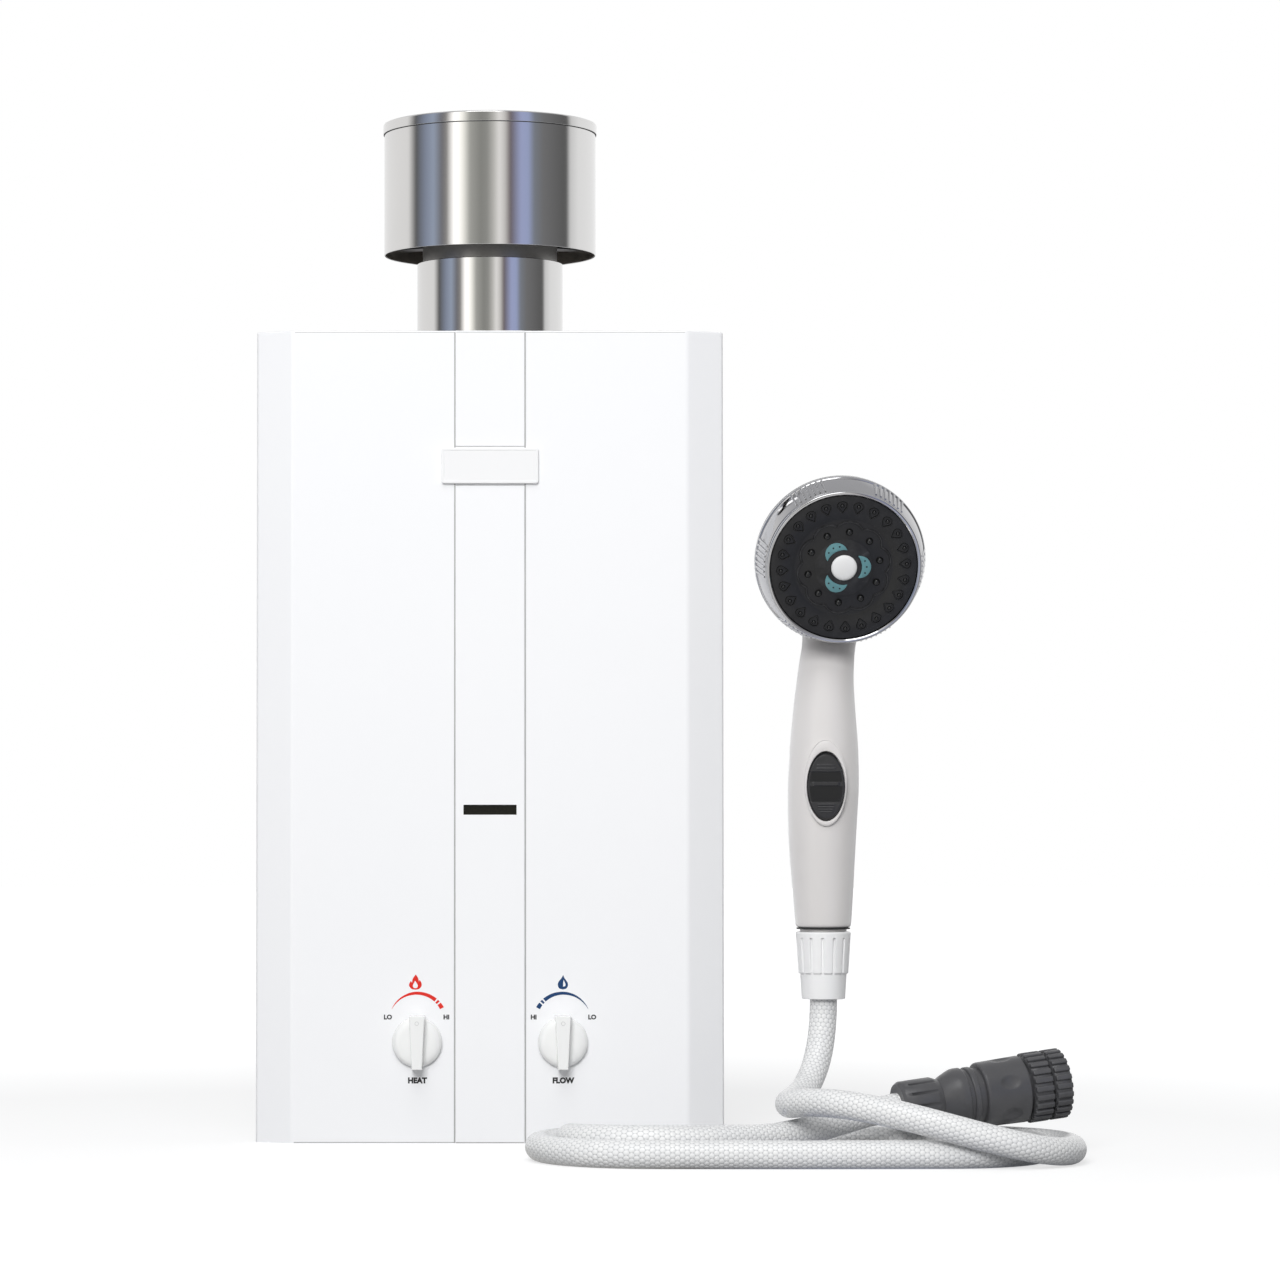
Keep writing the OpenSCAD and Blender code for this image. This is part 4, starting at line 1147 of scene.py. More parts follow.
@dataclass
class Casing:
    """The folded white cover, its centre strips and the blank badge plate."""

    make: Sculptor
    fold: float = 2.2
    rim: float = 1.4
    strip_w: float = 62.5
    strip_t: float = 1.2
    badge_w: float = 88.0
    badge_h: float = 32.5
    badge_t: float = 4.0
    spindle_r: float = 6.0

    def build(self) -> None:
        """Builds every piece of the front."""
        self.cover()
        self.strips()
        self.badge()

    def cover(self) -> None:
        """The cover, folded from one sheet, with its holes."""
        bm = bmesh.new()
        flat_x, side_y = HALF_W - CHAMFER_W, FRONT_Y + CHAMFER_D
        half = [(flat_x, FRONT_Y), (HALF_W, side_y), (HALF_W, BACK_Y)]
        line = [(-x, y) for x, y in half[::-1]] + half
        low = [bm.verts.new((x, y, 0)) for x, y in line]
        walls = [bm.edges.new(pair) for pair in zip(low, low[1:])]
        drawn = bmesh.ops.extrude_edge_only(bm, edges=walls)["geom"]
        upper = [v for v in drawn if isinstance(v, bmesh.types.BMVert)]
        bmesh.ops.translate(bm, vec=(0, 0, CASING_H), verts=upper)
        high = sorted((v for v in bm.verts if v.co.z > 1), key=lambda v: line.index((v.co.x, v.co.y)))
        bm.faces.new(high)
        bmesh.ops.recalc_face_normals(bm, faces=bm.faces)
        outward = bm.faces[0].calc_center_median() - Vector((0, 0, CASING_H / 2))
        if bm.faces[0].normal.dot(outward) < 0:
            bmesh.ops.reverse_faces(bm, faces=bm.faces)
        shared = [e for e in bm.edges if len(e.link_faces) == 2]
        folds = [e for e in shared if abs(e.verts[0].co.z - e.verts[1].co.z) > 1]
        round_edges(bm, folds, self.fold, 4)
        shared = [e for e in bm.edges if len(e.link_faces) == 2]
        rims = [e for e in shared if min(v.co.z for v in e.verts) > CASING_H - 0.01]
        round_edges(bm, rims, self.rim, 3)
        bmesh.ops.solidify(bm, geom=bm.faces[:], thickness=SHEET_T)
        made = self.make.piece(
            bm, "folded_cover", "heater", "white_enamel", replaces=["front_cover"], sharp=40,
            weighted=True,
        )
        flue = rod(bmesh.new(), FLUE_R + 0.4, 20, Matrix.Translation((0, FLUE_Y, CASING_H)), 96)
        holes = [flue, self.slot(FRONT_Y - 5, FRONT_Y + 5)]
        for side in (-1, 1):
            at = Matrix.Translation((side * KNOB_X, FRONT_Y, KNOB_Z))
            place = at @ Matrix.Rotation(math.pi / 2, 4, "X")
            holes.append(rod(bmesh.new(), self.spindle_r, 10, place, 48))
        self.make.cut(made, holes)

    def slot(self, front: float, back: float) -> Shape:
        """The shape that cuts the sight slot.

        Args:
            front: where it starts.
            back: where it ends.

        Returns:
            A new bmesh with the box.
        """
        half_w, half_h = SLOT_W / 2, SLOT_H / 2
        low, high = (-half_w, front, SLOT_Z - half_h), (half_w, back, SLOT_Z + half_h)
        return block(bmesh.new(), low, high)

    def strips(self) -> None:
        """The two lengths of centre strip, with grey beads painted as the shade of the gaps beside and
        between them.
        """
        half, front = self.strip_w / 2, FRONT_Y - self.strip_t
        gap = (self.badge_h + 3.5) / 2
        ends = (BADGE_Z - gap, BADGE_Z + gap)
        for name, low, high in (("lower", 0.0, ends[0]), ("upper", ends[1], CASING_H)):
            bm = block(bmesh.new(), (-half, front, low), (half, FRONT_Y, high), 0.35, 2)
            node = "trim_strip_" + name
            made = self.make.piece(
                bm, "strip_" + name, "heater", "white_enamel", replaces=[node], weighted=True
            )
            if name == "lower":
                self.make.cut(made, [self.slot(front - 2, FRONT_Y + 2)])
        # painted shade: grey beads beside the strips and across their ends stand for the shade in the gaps
        bm = bmesh.new()
        proud, sunk = FRONT_Y - 0.55, FRONT_Y + 0.4
        for side in (-1, 1):
            x = side * (half + 0.65)
            block(bm, (x - 0.65, proud, 0.6), (x + 0.65, sunk, CASING_H - 1.6), 0.3, 2)
        for z in ends:
            block(bm, (-half, proud, z - 0.5), (half, sunk, z + 0.5), 0.3, 2)
        self.make.piece(bm, "strip_gap_shades", "heater", "white_enamel", finish="gap_shade_grey")
        # painted shade: thin grey lines along the front's lower and upper rim stand for the shade under the
        # bends
        bm = bmesh.new()
        reach = HALF_W - CHAMFER_W - 2
        for z, t in ((0.2, 0.9), (CASING_H - 1.85, 0.42)):
            for x, y in ((reach, FRONT_Y), (half - 0.6, front)):
                block(bm, (-x, y - 0.05, z), (x, y + 0.3, z + t))
        self.make.piece(bm, "rim_shade_lines", "heater", "white_enamel", finish="gap_shade_grey")

    def badge(self) -> None:
        """The blank plate, with a rounded rim round a shallow field."""
        bm = bmesh.new()
        w, h, t = self.badge_w, self.badge_h, self.badge_t
        steps = (
            (0, 0.05), (0, t - 0.9), (0.12, t - 0.45), (0.45, t - 0.12), (0.9, t), (2.2, t),
            (2.45, t - 0.12), (2.6, t - 0.35),
        )
        loft(bm, [rounded(w - 2 * d, h - 2 * d, max(2.5 - d, 0.5), z) for d, z in steps])
        self.make.piece(
            bm, "blank_badge", "heater", "badge_white", Place.BADGE, ["badge_plate"], sharp=50,
            weighted=True,
        )


class Scale(Enum):
    """The two printed scales: side of the thick end, ink, place and words."""

    HEAT = (1, "ink_red", Place.PANEL_GAS, ("LO", "HI", "HEAT"))
    FLOW = (-1, "ink_blue", Place.PANEL_WATER, ("HI", "LO", "FLOW"))


@dataclass
class Controls:
    """The two knobs and the printed scales round them."""

    make: Sculptor
    disc_r: float = 22.5
    disc_low: float = 1.0
    disc_high: float = 9.0
    depth: float = 22.0
    grip: float = 24.5
    ink_low: float = 0.02
    ink_t: float = 0.12
    arc_r: float = 25.4
    arc_y: float = 18.6
    # Pieces of a printed arc: its first and last angle, and its width at both.
    arcs: tuple[tuple[float, float, tuple[float, float]], ...] = (
        (-64, -10, (0.25, 2.5)), (-10, 41, (2.5, 3.4)), (44, 48.5, (3.4, 3.6)), (51.5, 62, (3.6, 4.0)))

    def build(self) -> None:
        """Builds both knobs and both scales."""
        self.knob("gas_knob", Place.PANEL_GAS, "gas_control")
        self.knob("water_knob", Place.PANEL_WATER, "water_control")
        for scale in Scale:
            self.print_scale(scale)

    def knob(self, node: str, place: Place, body: str) -> None:
        """One knob: a domed disc with a tapered grip bar.

        Args:
            node: the CAD node that it stands for.
            place: its frame on the panel.
            body: the CAD body that it rides on.
        """
        r, low, high = self.disc_r, self.disc_low, self.disc_high
        # How far each point of the disc's edge lies inside its rim and above its foot.
        edge = (
            (1, 0), (0, 0.8), (0, 2.4), (0.3, 3.5), (1.0, 4.7), (2.1, 5.8), (3.7, 6.7), (6.0, 7.4),
            (9.5, 7.85),
        )
        bm = spun([(0, low)] + [(r - inside, low + z) for inside, z in edge] + [(0, high)])
        line = [(-7.4, self.grip), (7.4, self.grip), (4.9, -self.grip), (-4.9, -self.grip)]
        start = set(bm.verts)
        face = bm.faces.new([bm.verts.new((x, y, low + 2)) for x, y in line])
        drawn = bmesh.ops.extrude_face_region(bm, geom=[face])["geom"]
        top = [g for g in drawn if isinstance(g, bmesh.types.BMVert)]
        bmesh.ops.translate(bm, vec=(0, 0, self.depth - low - 2), verts=top)
        bmesh.ops.scale(bm, vec=(0.93, 0.985, 1.0), verts=top)
        round_edges(bm, {e for v in bm.verts if v not in start for e in v.link_edges}, 0.8, 3)
        name = node + "_dressed"
        self.make.piece(bm, name, body, "knob_white", place, [node], sharp=50, weighted=True)
        foot, crest = self.depth - 0.2, self.depth + self.ink_t
        dot = spun([(1.3, foot), (1.45, crest), (1.85, crest), (2.0, foot)], 32, True)
        dot.transform(Matrix.Translation((0, self.grip - 7.0, 0)))
        self.make.piece(dot, node + "_mark", body, "knob_white", place, finish="mark_grey")

    def arc(self, bm: Shape, side: int, start: float, end: float, widths: tuple[float, float]) -> None:
        """Adds a piece of a printed arc.

        Args:
            bm: the bmesh that takes it.
            side: 1 or -1, the side of its thick end.
            start: angle of its thin end, from the middle of the top.
            end: angle of its thick end.
            widths: its width at both ends.
        """
        steps = max(2, int(abs(end - start) / 3))
        outer, inner = [], []
        for k in range(steps + 1):
            t = k / steps
            a = math.radians(start + (end - start) * t)
            half = (widths[0] + (widths[1] - widths[0]) * t) / 2
            for line, r in ((outer, self.arc_r + half), (inner, self.arc_r - half)):
                line.append((side * r * math.sin(a), self.arc_y + r * math.cos(a)))
        line = outer + inner[::-1]
        prism(bm, line if side < 0 else line[::-1], self.ink_low, self.ink_t)

    def print_scale(self, scale: Scale) -> None:
        """Prints one scale: arc, sign and words.

        Args:
            scale: which of the two.
        """
        side, ink, place, words = scale.value
        bm = bmesh.new()
        for start, end, widths in self.arcs:
            self.arc(bm, side, start, end, widths)
        for line in self.flame() if scale is Scale.HEAT else self.drop():
            prism(bm, line, self.ink_low, self.ink_t)
        name = scale.name.lower()
        self.make.piece(bm, name + "_scale", "heater", "white_enamel", place, finish=ink, sharp=20)
        left, right, below = words
        self.word(name + "_left", left, -26.4, 22.3, 5.6, 0.27, place)
        self.word(name + "_right", right, 26.4, 22.3, 5.6, 0.27, place)
        self.word(name + "_below", below, 0.2, -34.8, 6.8, 0.38, place)

    def flame(self) -> list[list[Point]]:
        """Two halves of a flame, open at the heart.

        Returns:
            The outline of each half, as (x, y) points.
        """
        right = [(0, 47.2), (3.4, 47.9), (5.6, 50.6), (5.4, 53.4), (3.9, 55.9), (3.3, 54.4), (2.5, 57.6)]
        left = [
            (0, 47.2), (-3.4, 47.9), (-5.6, 50.6), (-5.2, 53.2), (-4.0, 54.9), (-3.0, 53.6),
            (-2.4, 57.0),
        ]
        heart = [(-0.2, 55.3), (1.5, 52.6), (2.3, 50.6), (1.5, 48.9), (0, 48.5)]
        mirror = [(-0.2, 55.3), (-1.7, 52.4), (-2.3, 50.6), (-1.5, 48.9), (0, 48.5)]
        tip = [(0.4, 60.9)]
        return [self.half_sign(right + tip, heart, -1.6), self.half_sign(left + tip, mirror, -1.6)[::-1]]

    def drop(self) -> list[list[Point]]:
        """A drop with an open gleam, in two halves.

        Returns:
            The outline of each half, as (x, y) points.
        """
        right = [(0, 47.4), (3.2, 48.4), (4.6, 51.3), (3.9, 54.2), (1.6, 57.4)]
        left = [(0, 47.4), (-3.2, 48.4), (-4.6, 51.3), (-3.9, 54.2), (-1.4, 57.4)]
        gleam = [(0.6, 56.2), (1.9, 53.6), (2.4, 51.6), (1.8, 50.2), (0, 50.0)]
        back = [(0.6, 56.2), (0.3, 53.6), (0.2, 51.6), (0.1, 50.4), (0, 50.0)]
        tip = [(0.2, 60.4)]
        return [self.half_sign(right + tip, gleam), self.half_sign(left + tip, back)[::-1]]

    def half_sign(self, edge: Sequence[Point], inner: Sequence[Point], shift: float = 0.0) -> list[Point]:
        """The outline of half a sign.

        Args:
            edge: points of its outer line, from the foot to the tip.
            inner: points of its inner line, back down to the foot.
            shift: how far it is moved across.

        Returns:
            The outline's (x, y) points.
        """
        line = []
        for points in (edge, inner):
            line += curve_through([(x, y, 0) for x, y in points], 4)
        return [(p.x, p.y) for p in (p + Vector((shift, 0, 0)) for p in line)]

    def word(
        self, name: str, text: str, x: float, y: float, size: float, bold: float, place: Place
    ) -> None:
        """Prints one word, centred at x, y in the knob's frame.

        Args:
            name: the piece's name.
            text: the word.
            x: its middle.
            y: its middle.
            size: the type size.
            bold: how much its strokes are thickened.
            place: the knob's frame.
        """
        font = bpy.data.curves.new(name, "FONT")
        font.body = text
        font.size = size
        font.align_x = "CENTER"
        font.align_y = "CENTER"
        font.extrude = self.ink_t / 2
        font.offset = bold
        font.resolution_u = 3
        holder = show(name, font)
        bpy.context.view_layer.update()
        shape = holder.evaluated_get(bpy.context.evaluated_depsgraph_get())
        mesh = bpy.data.meshes.new_from_object(shape)
        bpy.data.objects.remove(holder)
        bpy.data.curves.remove(font)
        mesh.transform(place.matrix() @ Matrix.Translation((x, y, self.ink_t / 2 + self.ink_low)))
        mesh.name = name
        self.make.dress(mesh, name, "heater", "white_enamel", sharp=20, finish="ink_grey")


@dataclass
class FlueCap:
    """The polished flue pipe and the round cap over it."""

    make: Sculptor
    sheet: float = 1.0
    pipe_low: float = 710.3
    pipe_top: float = 804.0
    collar_r: float = 62.0
    drum_r: float = 97.7
    drum_low: float = 812.0
    drum_top: float = 933.5
    lip: float = 9.5
    steps: int = 160

    def build(self) -> None:
        """Builds pipe, collar, drum and lid."""
        self.shell("flue_pipe", FLUE_R, self.pipe_low, self.pipe_top)
        self.shell("cap_drum", self.drum_r, self.drum_low, self.drum_top - self.sheet - 0.3)
        self.collar()
        self.lid()
        self.inner_shade_skin()
        d, low = self.drum_r, self.drum_top - self.lip
        # painted shade: a dark ring under the lid's lip stands for the shade of the gap there
        gap_shade = self.band(d + 0.6, d + 0.05, low - 0.6, low - 0.02)
        self.make.piece(gap_shade, "cap_lid_gap_shade", "heater", "gasket_rubber", Place.FLUE)
        self.make.smooth_copy("cap_brackets", bevel=0.3)
        self.seams()

    def band(self, outer: float, inner: float, low: float, high: float) -> Shape:
        """A new bmesh with a plain round band between two radii and two heights."""
        return spun([(inner, low), (outer, low), (outer, high), (inner, high)], self.steps, True)

    def shell(self, node: str, r: float, low: float, high: float) -> None:
        """One round sheet wall with softened rims.

        Args:
            node: the CAD node that it stands for.
            r: its outer radius.
            low: height of its lower rim.
            high: height of its upper rim.
        """
        inner, a, b = r - self.sheet, low + 0.45, high - 0.45
        wall = [
            (r, a), (r, b), (r - 0.3, high), (r - 0.7, high), (inner, b), (inner, a), (r - 0.7, low),
            (r - 0.3, low),
        ]
        bm = spun(wall, self.steps, True)
        name = node + "_dressed"
        self.make.piece(bm, name, "heater", "stainless", Place.FLUE, [node], weighted=True)

    def collar(self) -> None:
        """The inner collar of the cap, with the ring that seats it in the pipe."""
        c, t, top = self.collar_r, self.sheet, self.pipe_top
        seat = FLUE_R - t - 0.3
        wall = [
            (c, top - 29.6), (c, top + 45.6), (c - 0.4, top + 46), (c - 0.7, top + 46),
            (c - t, top + 45.6), (c - t, top - 29.6), (c - 0.7, top - 30), (c - 0.4, top - 30),
        ]
        ring = [
            (c + 0.1, top - 6), (seat, top - 6), (seat, top - 2.4), (seat - 0.5, top - 2),
            (c + 0.1, top - 2),
        ]
        bm = spun(wall, self.steps, True)
        merge(bm, spun(ring, self.steps, True))
        self.make.piece(
            bm, "cap_collar_dressed", "heater", "stainless", Place.FLUE, ["cap_collar"],
            weighted=True, finish="dull_steel",
        )

    def lid(self) -> None:
        """The lipped lid, with a shallow groove pressed into its top."""
        r, top, low = self.drum_r + 1.0, self.drum_top, self.drum_top - self.lip
        under = top - self.sheet
        line = [
            (0, top), (62, top), (66, top - 0.1), (69, top - 0.8), (71.5, top - 0.8),
            (74.5, top - 0.1), (78, top), (r - 1.6, top), (r - 0.5, top - 0.4), (r, top - 1.5),
            (r, low + 0.3), (r - 0.1, low + 0.05), (r - 0.25, low), (r - 0.7, low + 0.1),
            (r - 0.7, under), (0, under),
        ]
        self.make.piece(
            spun(line, self.steps), "cap_lid_dressed", "heater", "stainless", Place.FLUE,
            ["cap_lid"], sharp=50, weighted=True,
        )

    def inner_shade_skin(self) -> None:
        """A dull, unpolished band on the drum's inner face, painted dark as the shade inside the cap."""
        r, high = self.drum_r - self.sheet, self.drum_top - self.sheet - 1.0
        bm = self.band(r - 0.22, r - 0.04, self.drum_low + 0.8, high)
        self.make.piece(
            bm, "cap_inner_shade", "heater", "dark_steel", Place.FLUE, finish="inner_shade_steel",
            weighted=True,
        )

    def seams(self) -> None:
        """Lapped seams at the back, with their spot welds."""
        bm = bmesh.new()
        drum = (self.drum_r, self.drum_low + 1, self.drum_top - self.lip - 1)
        for r, low, high in (drum, (FLUE_R, CASING_H + 1, self.pipe_top - 1)):
            block(bm, (-5, r - 0.5, low), (5, r + 0.45, high), 0.2, 2)
            for k in range(5):
                z = low + 10 + (high - low - 20) * k / 4
                ball = bmesh.ops.create_uvsphere(bm, u_segments=12, v_segments=6, radius=1.6)
                place = Matrix.Translation((0, r + 0.35, z)) @ Matrix.Diagonal((1, 0.2, 1, 1))
                bmesh.ops.transform(bm, matrix=place, verts=ball["verts"])
        self.make.piece(bm, "cap_seams", "heater", "stainless", Place.FLUE, finish="screw_steel")


@dataclass
class HandShower:
    """The handle with the back of the head, the rocker and its bezel."""

    make: Sculptor
    low: float = 197.1
    dome_r: float = 72.0
    dome_depth: float = 50.0
    voxel: float = 1.5
    rocker_w: float = 33.0
    rocker_h: float = 60.4
    rocker_y: float = -2.5
    bow: float = 113.0
    rim: float = 1.6
    ribs: list[tuple[float, ...]] = field(default_factory=lambda: [
        (2.1, 1.5, 11.5, 0.9), (15.5, 0.55, 7.9, 0.55), (18.3, 0.55, 7.4, 0.5), (-16.0, 0.5, 7.4, 0.6),
        (-18.3, 0.5, 7.2, 0.6), (-20.4, 0.5, 6.6, 0.55), (-22.5, 0.5, 5.8, 0.5)])
    sections: list[tuple[float, ...]] = field(default_factory=lambda: [
        (197.1, 293, -205, 24.4, 24), (228, 292.7, -205, 26.6, 26.6), (265, 292.2, -205, 29.1, 29.2),
        (300, 292.7, -205, 30.7, 30.4), (324, 293.4, -205, 31.2, 30.5), (357, 294, -204, 30, 29.4),
        (387, 294.4, -202, 27.6, 27.8), (412, 295.4, -199, 25.4, 25.8), (432, 297.4, -194.5, 24.2, 24),
        (446, 299.6, -189.5, 23.8, 22.6), (464, 302, -187, 25.5, 19.5), (486, 304, -193, 27, 17),
        (508, 305, -204, 22, 13)])

    def build(self) -> None:
        """Builds the handle and what is set in it."""
        self.handle()
        self.bezel()
        self.rocker()
        # painted shade: a black ring at the handle's foot stands for the shade of the gap above the nut
        low, high = self.low - 1.3, self.low - 0.1
        gap_shade = spun([(20.6, low), (23.2, low), (23.6, low + 0.3), (23.6, high), (20.6, high)], 96, True)
        self.make.piece(gap_shade, "handle_foot_gap_shade", "handset", "gasket_rubber", Place.HANDLE)
        for node in ("handset_stub", "flow_valve", "head_gasket"):
            self.make.smooth_copy(node)

    def handle(self) -> None:
        """Handle and head back as one smooth moulding."""
        bm = bmesh.new()
        stretches = curve_through([Vector((z, x, y)) for z, x, y, _, _ in self.sections], 4)
        halves = curve_through([Vector((w, d, 0)) for _, _, _, w, d in self.sections], 4)
        rings = []
        for (z, x, y), (w, d, _) in zip(stretches, halves):
            rings.append([Vector((x + w * math.cos(a), y + d * math.sin(a), z)) for a in full_turn(64)])
        loft(bm, rings)
        merge(bm, self.dome())
        made = self.make.piece(
            bm, "handset_moulding", "handset", "handset_white", replaces=["handset_shell"], sharp=60
        )
        remesh = made.modifiers.new("join", "REMESH")
        remesh.mode = "VOXEL"
        remesh.voxel_size = self.voxel * MM
        remesh.use_smooth_shade = True
        smooth = made.modifiers.new("blend", "SMOOTH")
        smooth.factor = 0.5
        smooth.iterations = 14
        self.make.bake(made)
        pocket = bmesh.new()
        loft(pocket, [ellipse(36.9, 75.7, 12), ellipse(36.9, 75.7, 60)])
        self.make.cut(made, [pocket], Place.ROCKER)
        made.data.shade_smooth()
        made.data.set_sharp_from_angle(angle=math.radians(50))

    def dome(self) -> Shape:
        """The back of the head, placed in the whole object's frame.

        Returns:
            A new bmesh in millimetres.
        """
        arc = []
        for angle in range(0, 90, 5):
            a = math.radians(angle)
            arc.append((self.dome_r * math.cos(a), -self.dome_depth * math.sin(a)))
        bm = spun([(0, 0)] + arc + [(0, -self.dome_depth)])
        bmesh.ops.remove_doubles(bm, verts=bm.verts, dist=2 * WELD)
        bmesh.ops.recalc_face_normals(bm, faces=bm.faces)
        bm.transform(Matrix.Scale(1 / MM, 4) @ Place.HEAD.matrix())
        return bm

    def bezel(self) -> None:
        """The raised oval frame of the rocker."""
        bm = bmesh.new()
        w, h, y = self.rocker_w + 3.6, self.rocker_h + 15, self.rocker_y
        iw, ih = self.rocker_w + 0.8, self.rocker_h + 0.8
        rings = [
            ellipse(w, h, 15.5), ellipse(w, h, 30.6), ellipse(w - 0.5, h - 0.5, 31.6),
            ellipse(w - 1.4, h - 1.6, 32.2), ellipse(iw + 1.3, ih + 1.6, 32.4, y),
            ellipse(iw + 0.5, ih + 0.6, 32.2, y), ellipse(iw, ih, 31.6, y), ellipse(iw, ih, 15.5, y),
        ]
        loft(bm, rings, ends=False, loop=True)
        self.make.piece(
            bm, "rocker_frame", "handset", "handset_white", Place.ROCKER, ["rocker_bezel"], sharp=50
        )

    def rocker_height(self, x: float, off: float, w: float, h: float) -> float:
        """Height of the rocker's top over its frame.

        Args:
            x: distance from its middle across.
            off: distance from its middle along.
            w: its width.
            h: its length.

        Returns:
            The height in millimetres.
        """
        z = 28.8 + math.sqrt(self.bow**2 - off**2) - math.sqrt(self.bow**2 - (h / 2) ** 2)
        z -= 1.1 * soft(off, -14.6, -13.2) * (1 - soft(off, 12.0, 13.4))
        for at, deep, wide, rise in self.ribs:
            along = 1 - soft(abs(off - at), deep - 0.25, deep + 0.35)
            z += rise * along * (1 - soft(abs(x), wide - 0.5, wide + 0.5))
        inward = (1 - math.hypot(x / (w / 2), off / (h / 2))) * w / 2
        if inward < self.rim:
            z -= self.rim - math.sqrt(max(0.0, self.rim**2 - (self.rim - inward) ** 2))
        return z

    def rocker(self) -> None:
        """The black rocker: a bowed oval with two raised ends, a bar and short ribs, with darker sheets
        painted as shade over its sunken middle.
        """
        bm = bmesh.new()
        w, h, y = self.rocker_w - 0.2, self.rocker_h - 1.6, self.rocker_y
        rows, shaded_wells = [], ([], [])
        across, along = 24, 110
        shares = [math.sin(math.pi / 2 * (j / across - 1)) for j in range(2 * across + 1)]

        def row(off: float, reach: float, lift: float) -> list[Vector]:
            """One row of points over the top, as far as reach each side, lifted a little."""
            spots = [reach * s for s in shares]
            return [Vector((x, y + off, self.rocker_height(x, off, w, h) + lift)) for x in spots]

        for i in range(2 * along + 1):
            off = 0.9997 * h / 2 * (i / along - 1)
            half = w / 2 * math.sqrt(1 - (off / (h / 2)) ** 2)
            rows.append(row(off, half, 0.0))
            for shaded_well, (low, high) in zip(shaded_wells, ((-13.9, 0.4), (3.9, 12.4))):
                if low < off < high:
                    shaded_well.append(row(off, half - 2.0, 0.05))
        slab(bm, rows, 17)
        self.make.piece(
            bm, "ribbed_rocker", "rocker", "rocker_black", Place.ROCKER, ["rocker_switch"], sharp=60
        )
        # painted shade: near-black sheets over the sunken middle stand for the shade there
        bm = bmesh.new()
        for shaded_well in shaded_wells:
            slab(bm, shaded_well, 0.4, False)
        self.make.piece(
            bm, "rocker_well_shades", "rocker", "rocker_black", Place.ROCKER, finish="shade_black", sharp=60
        )


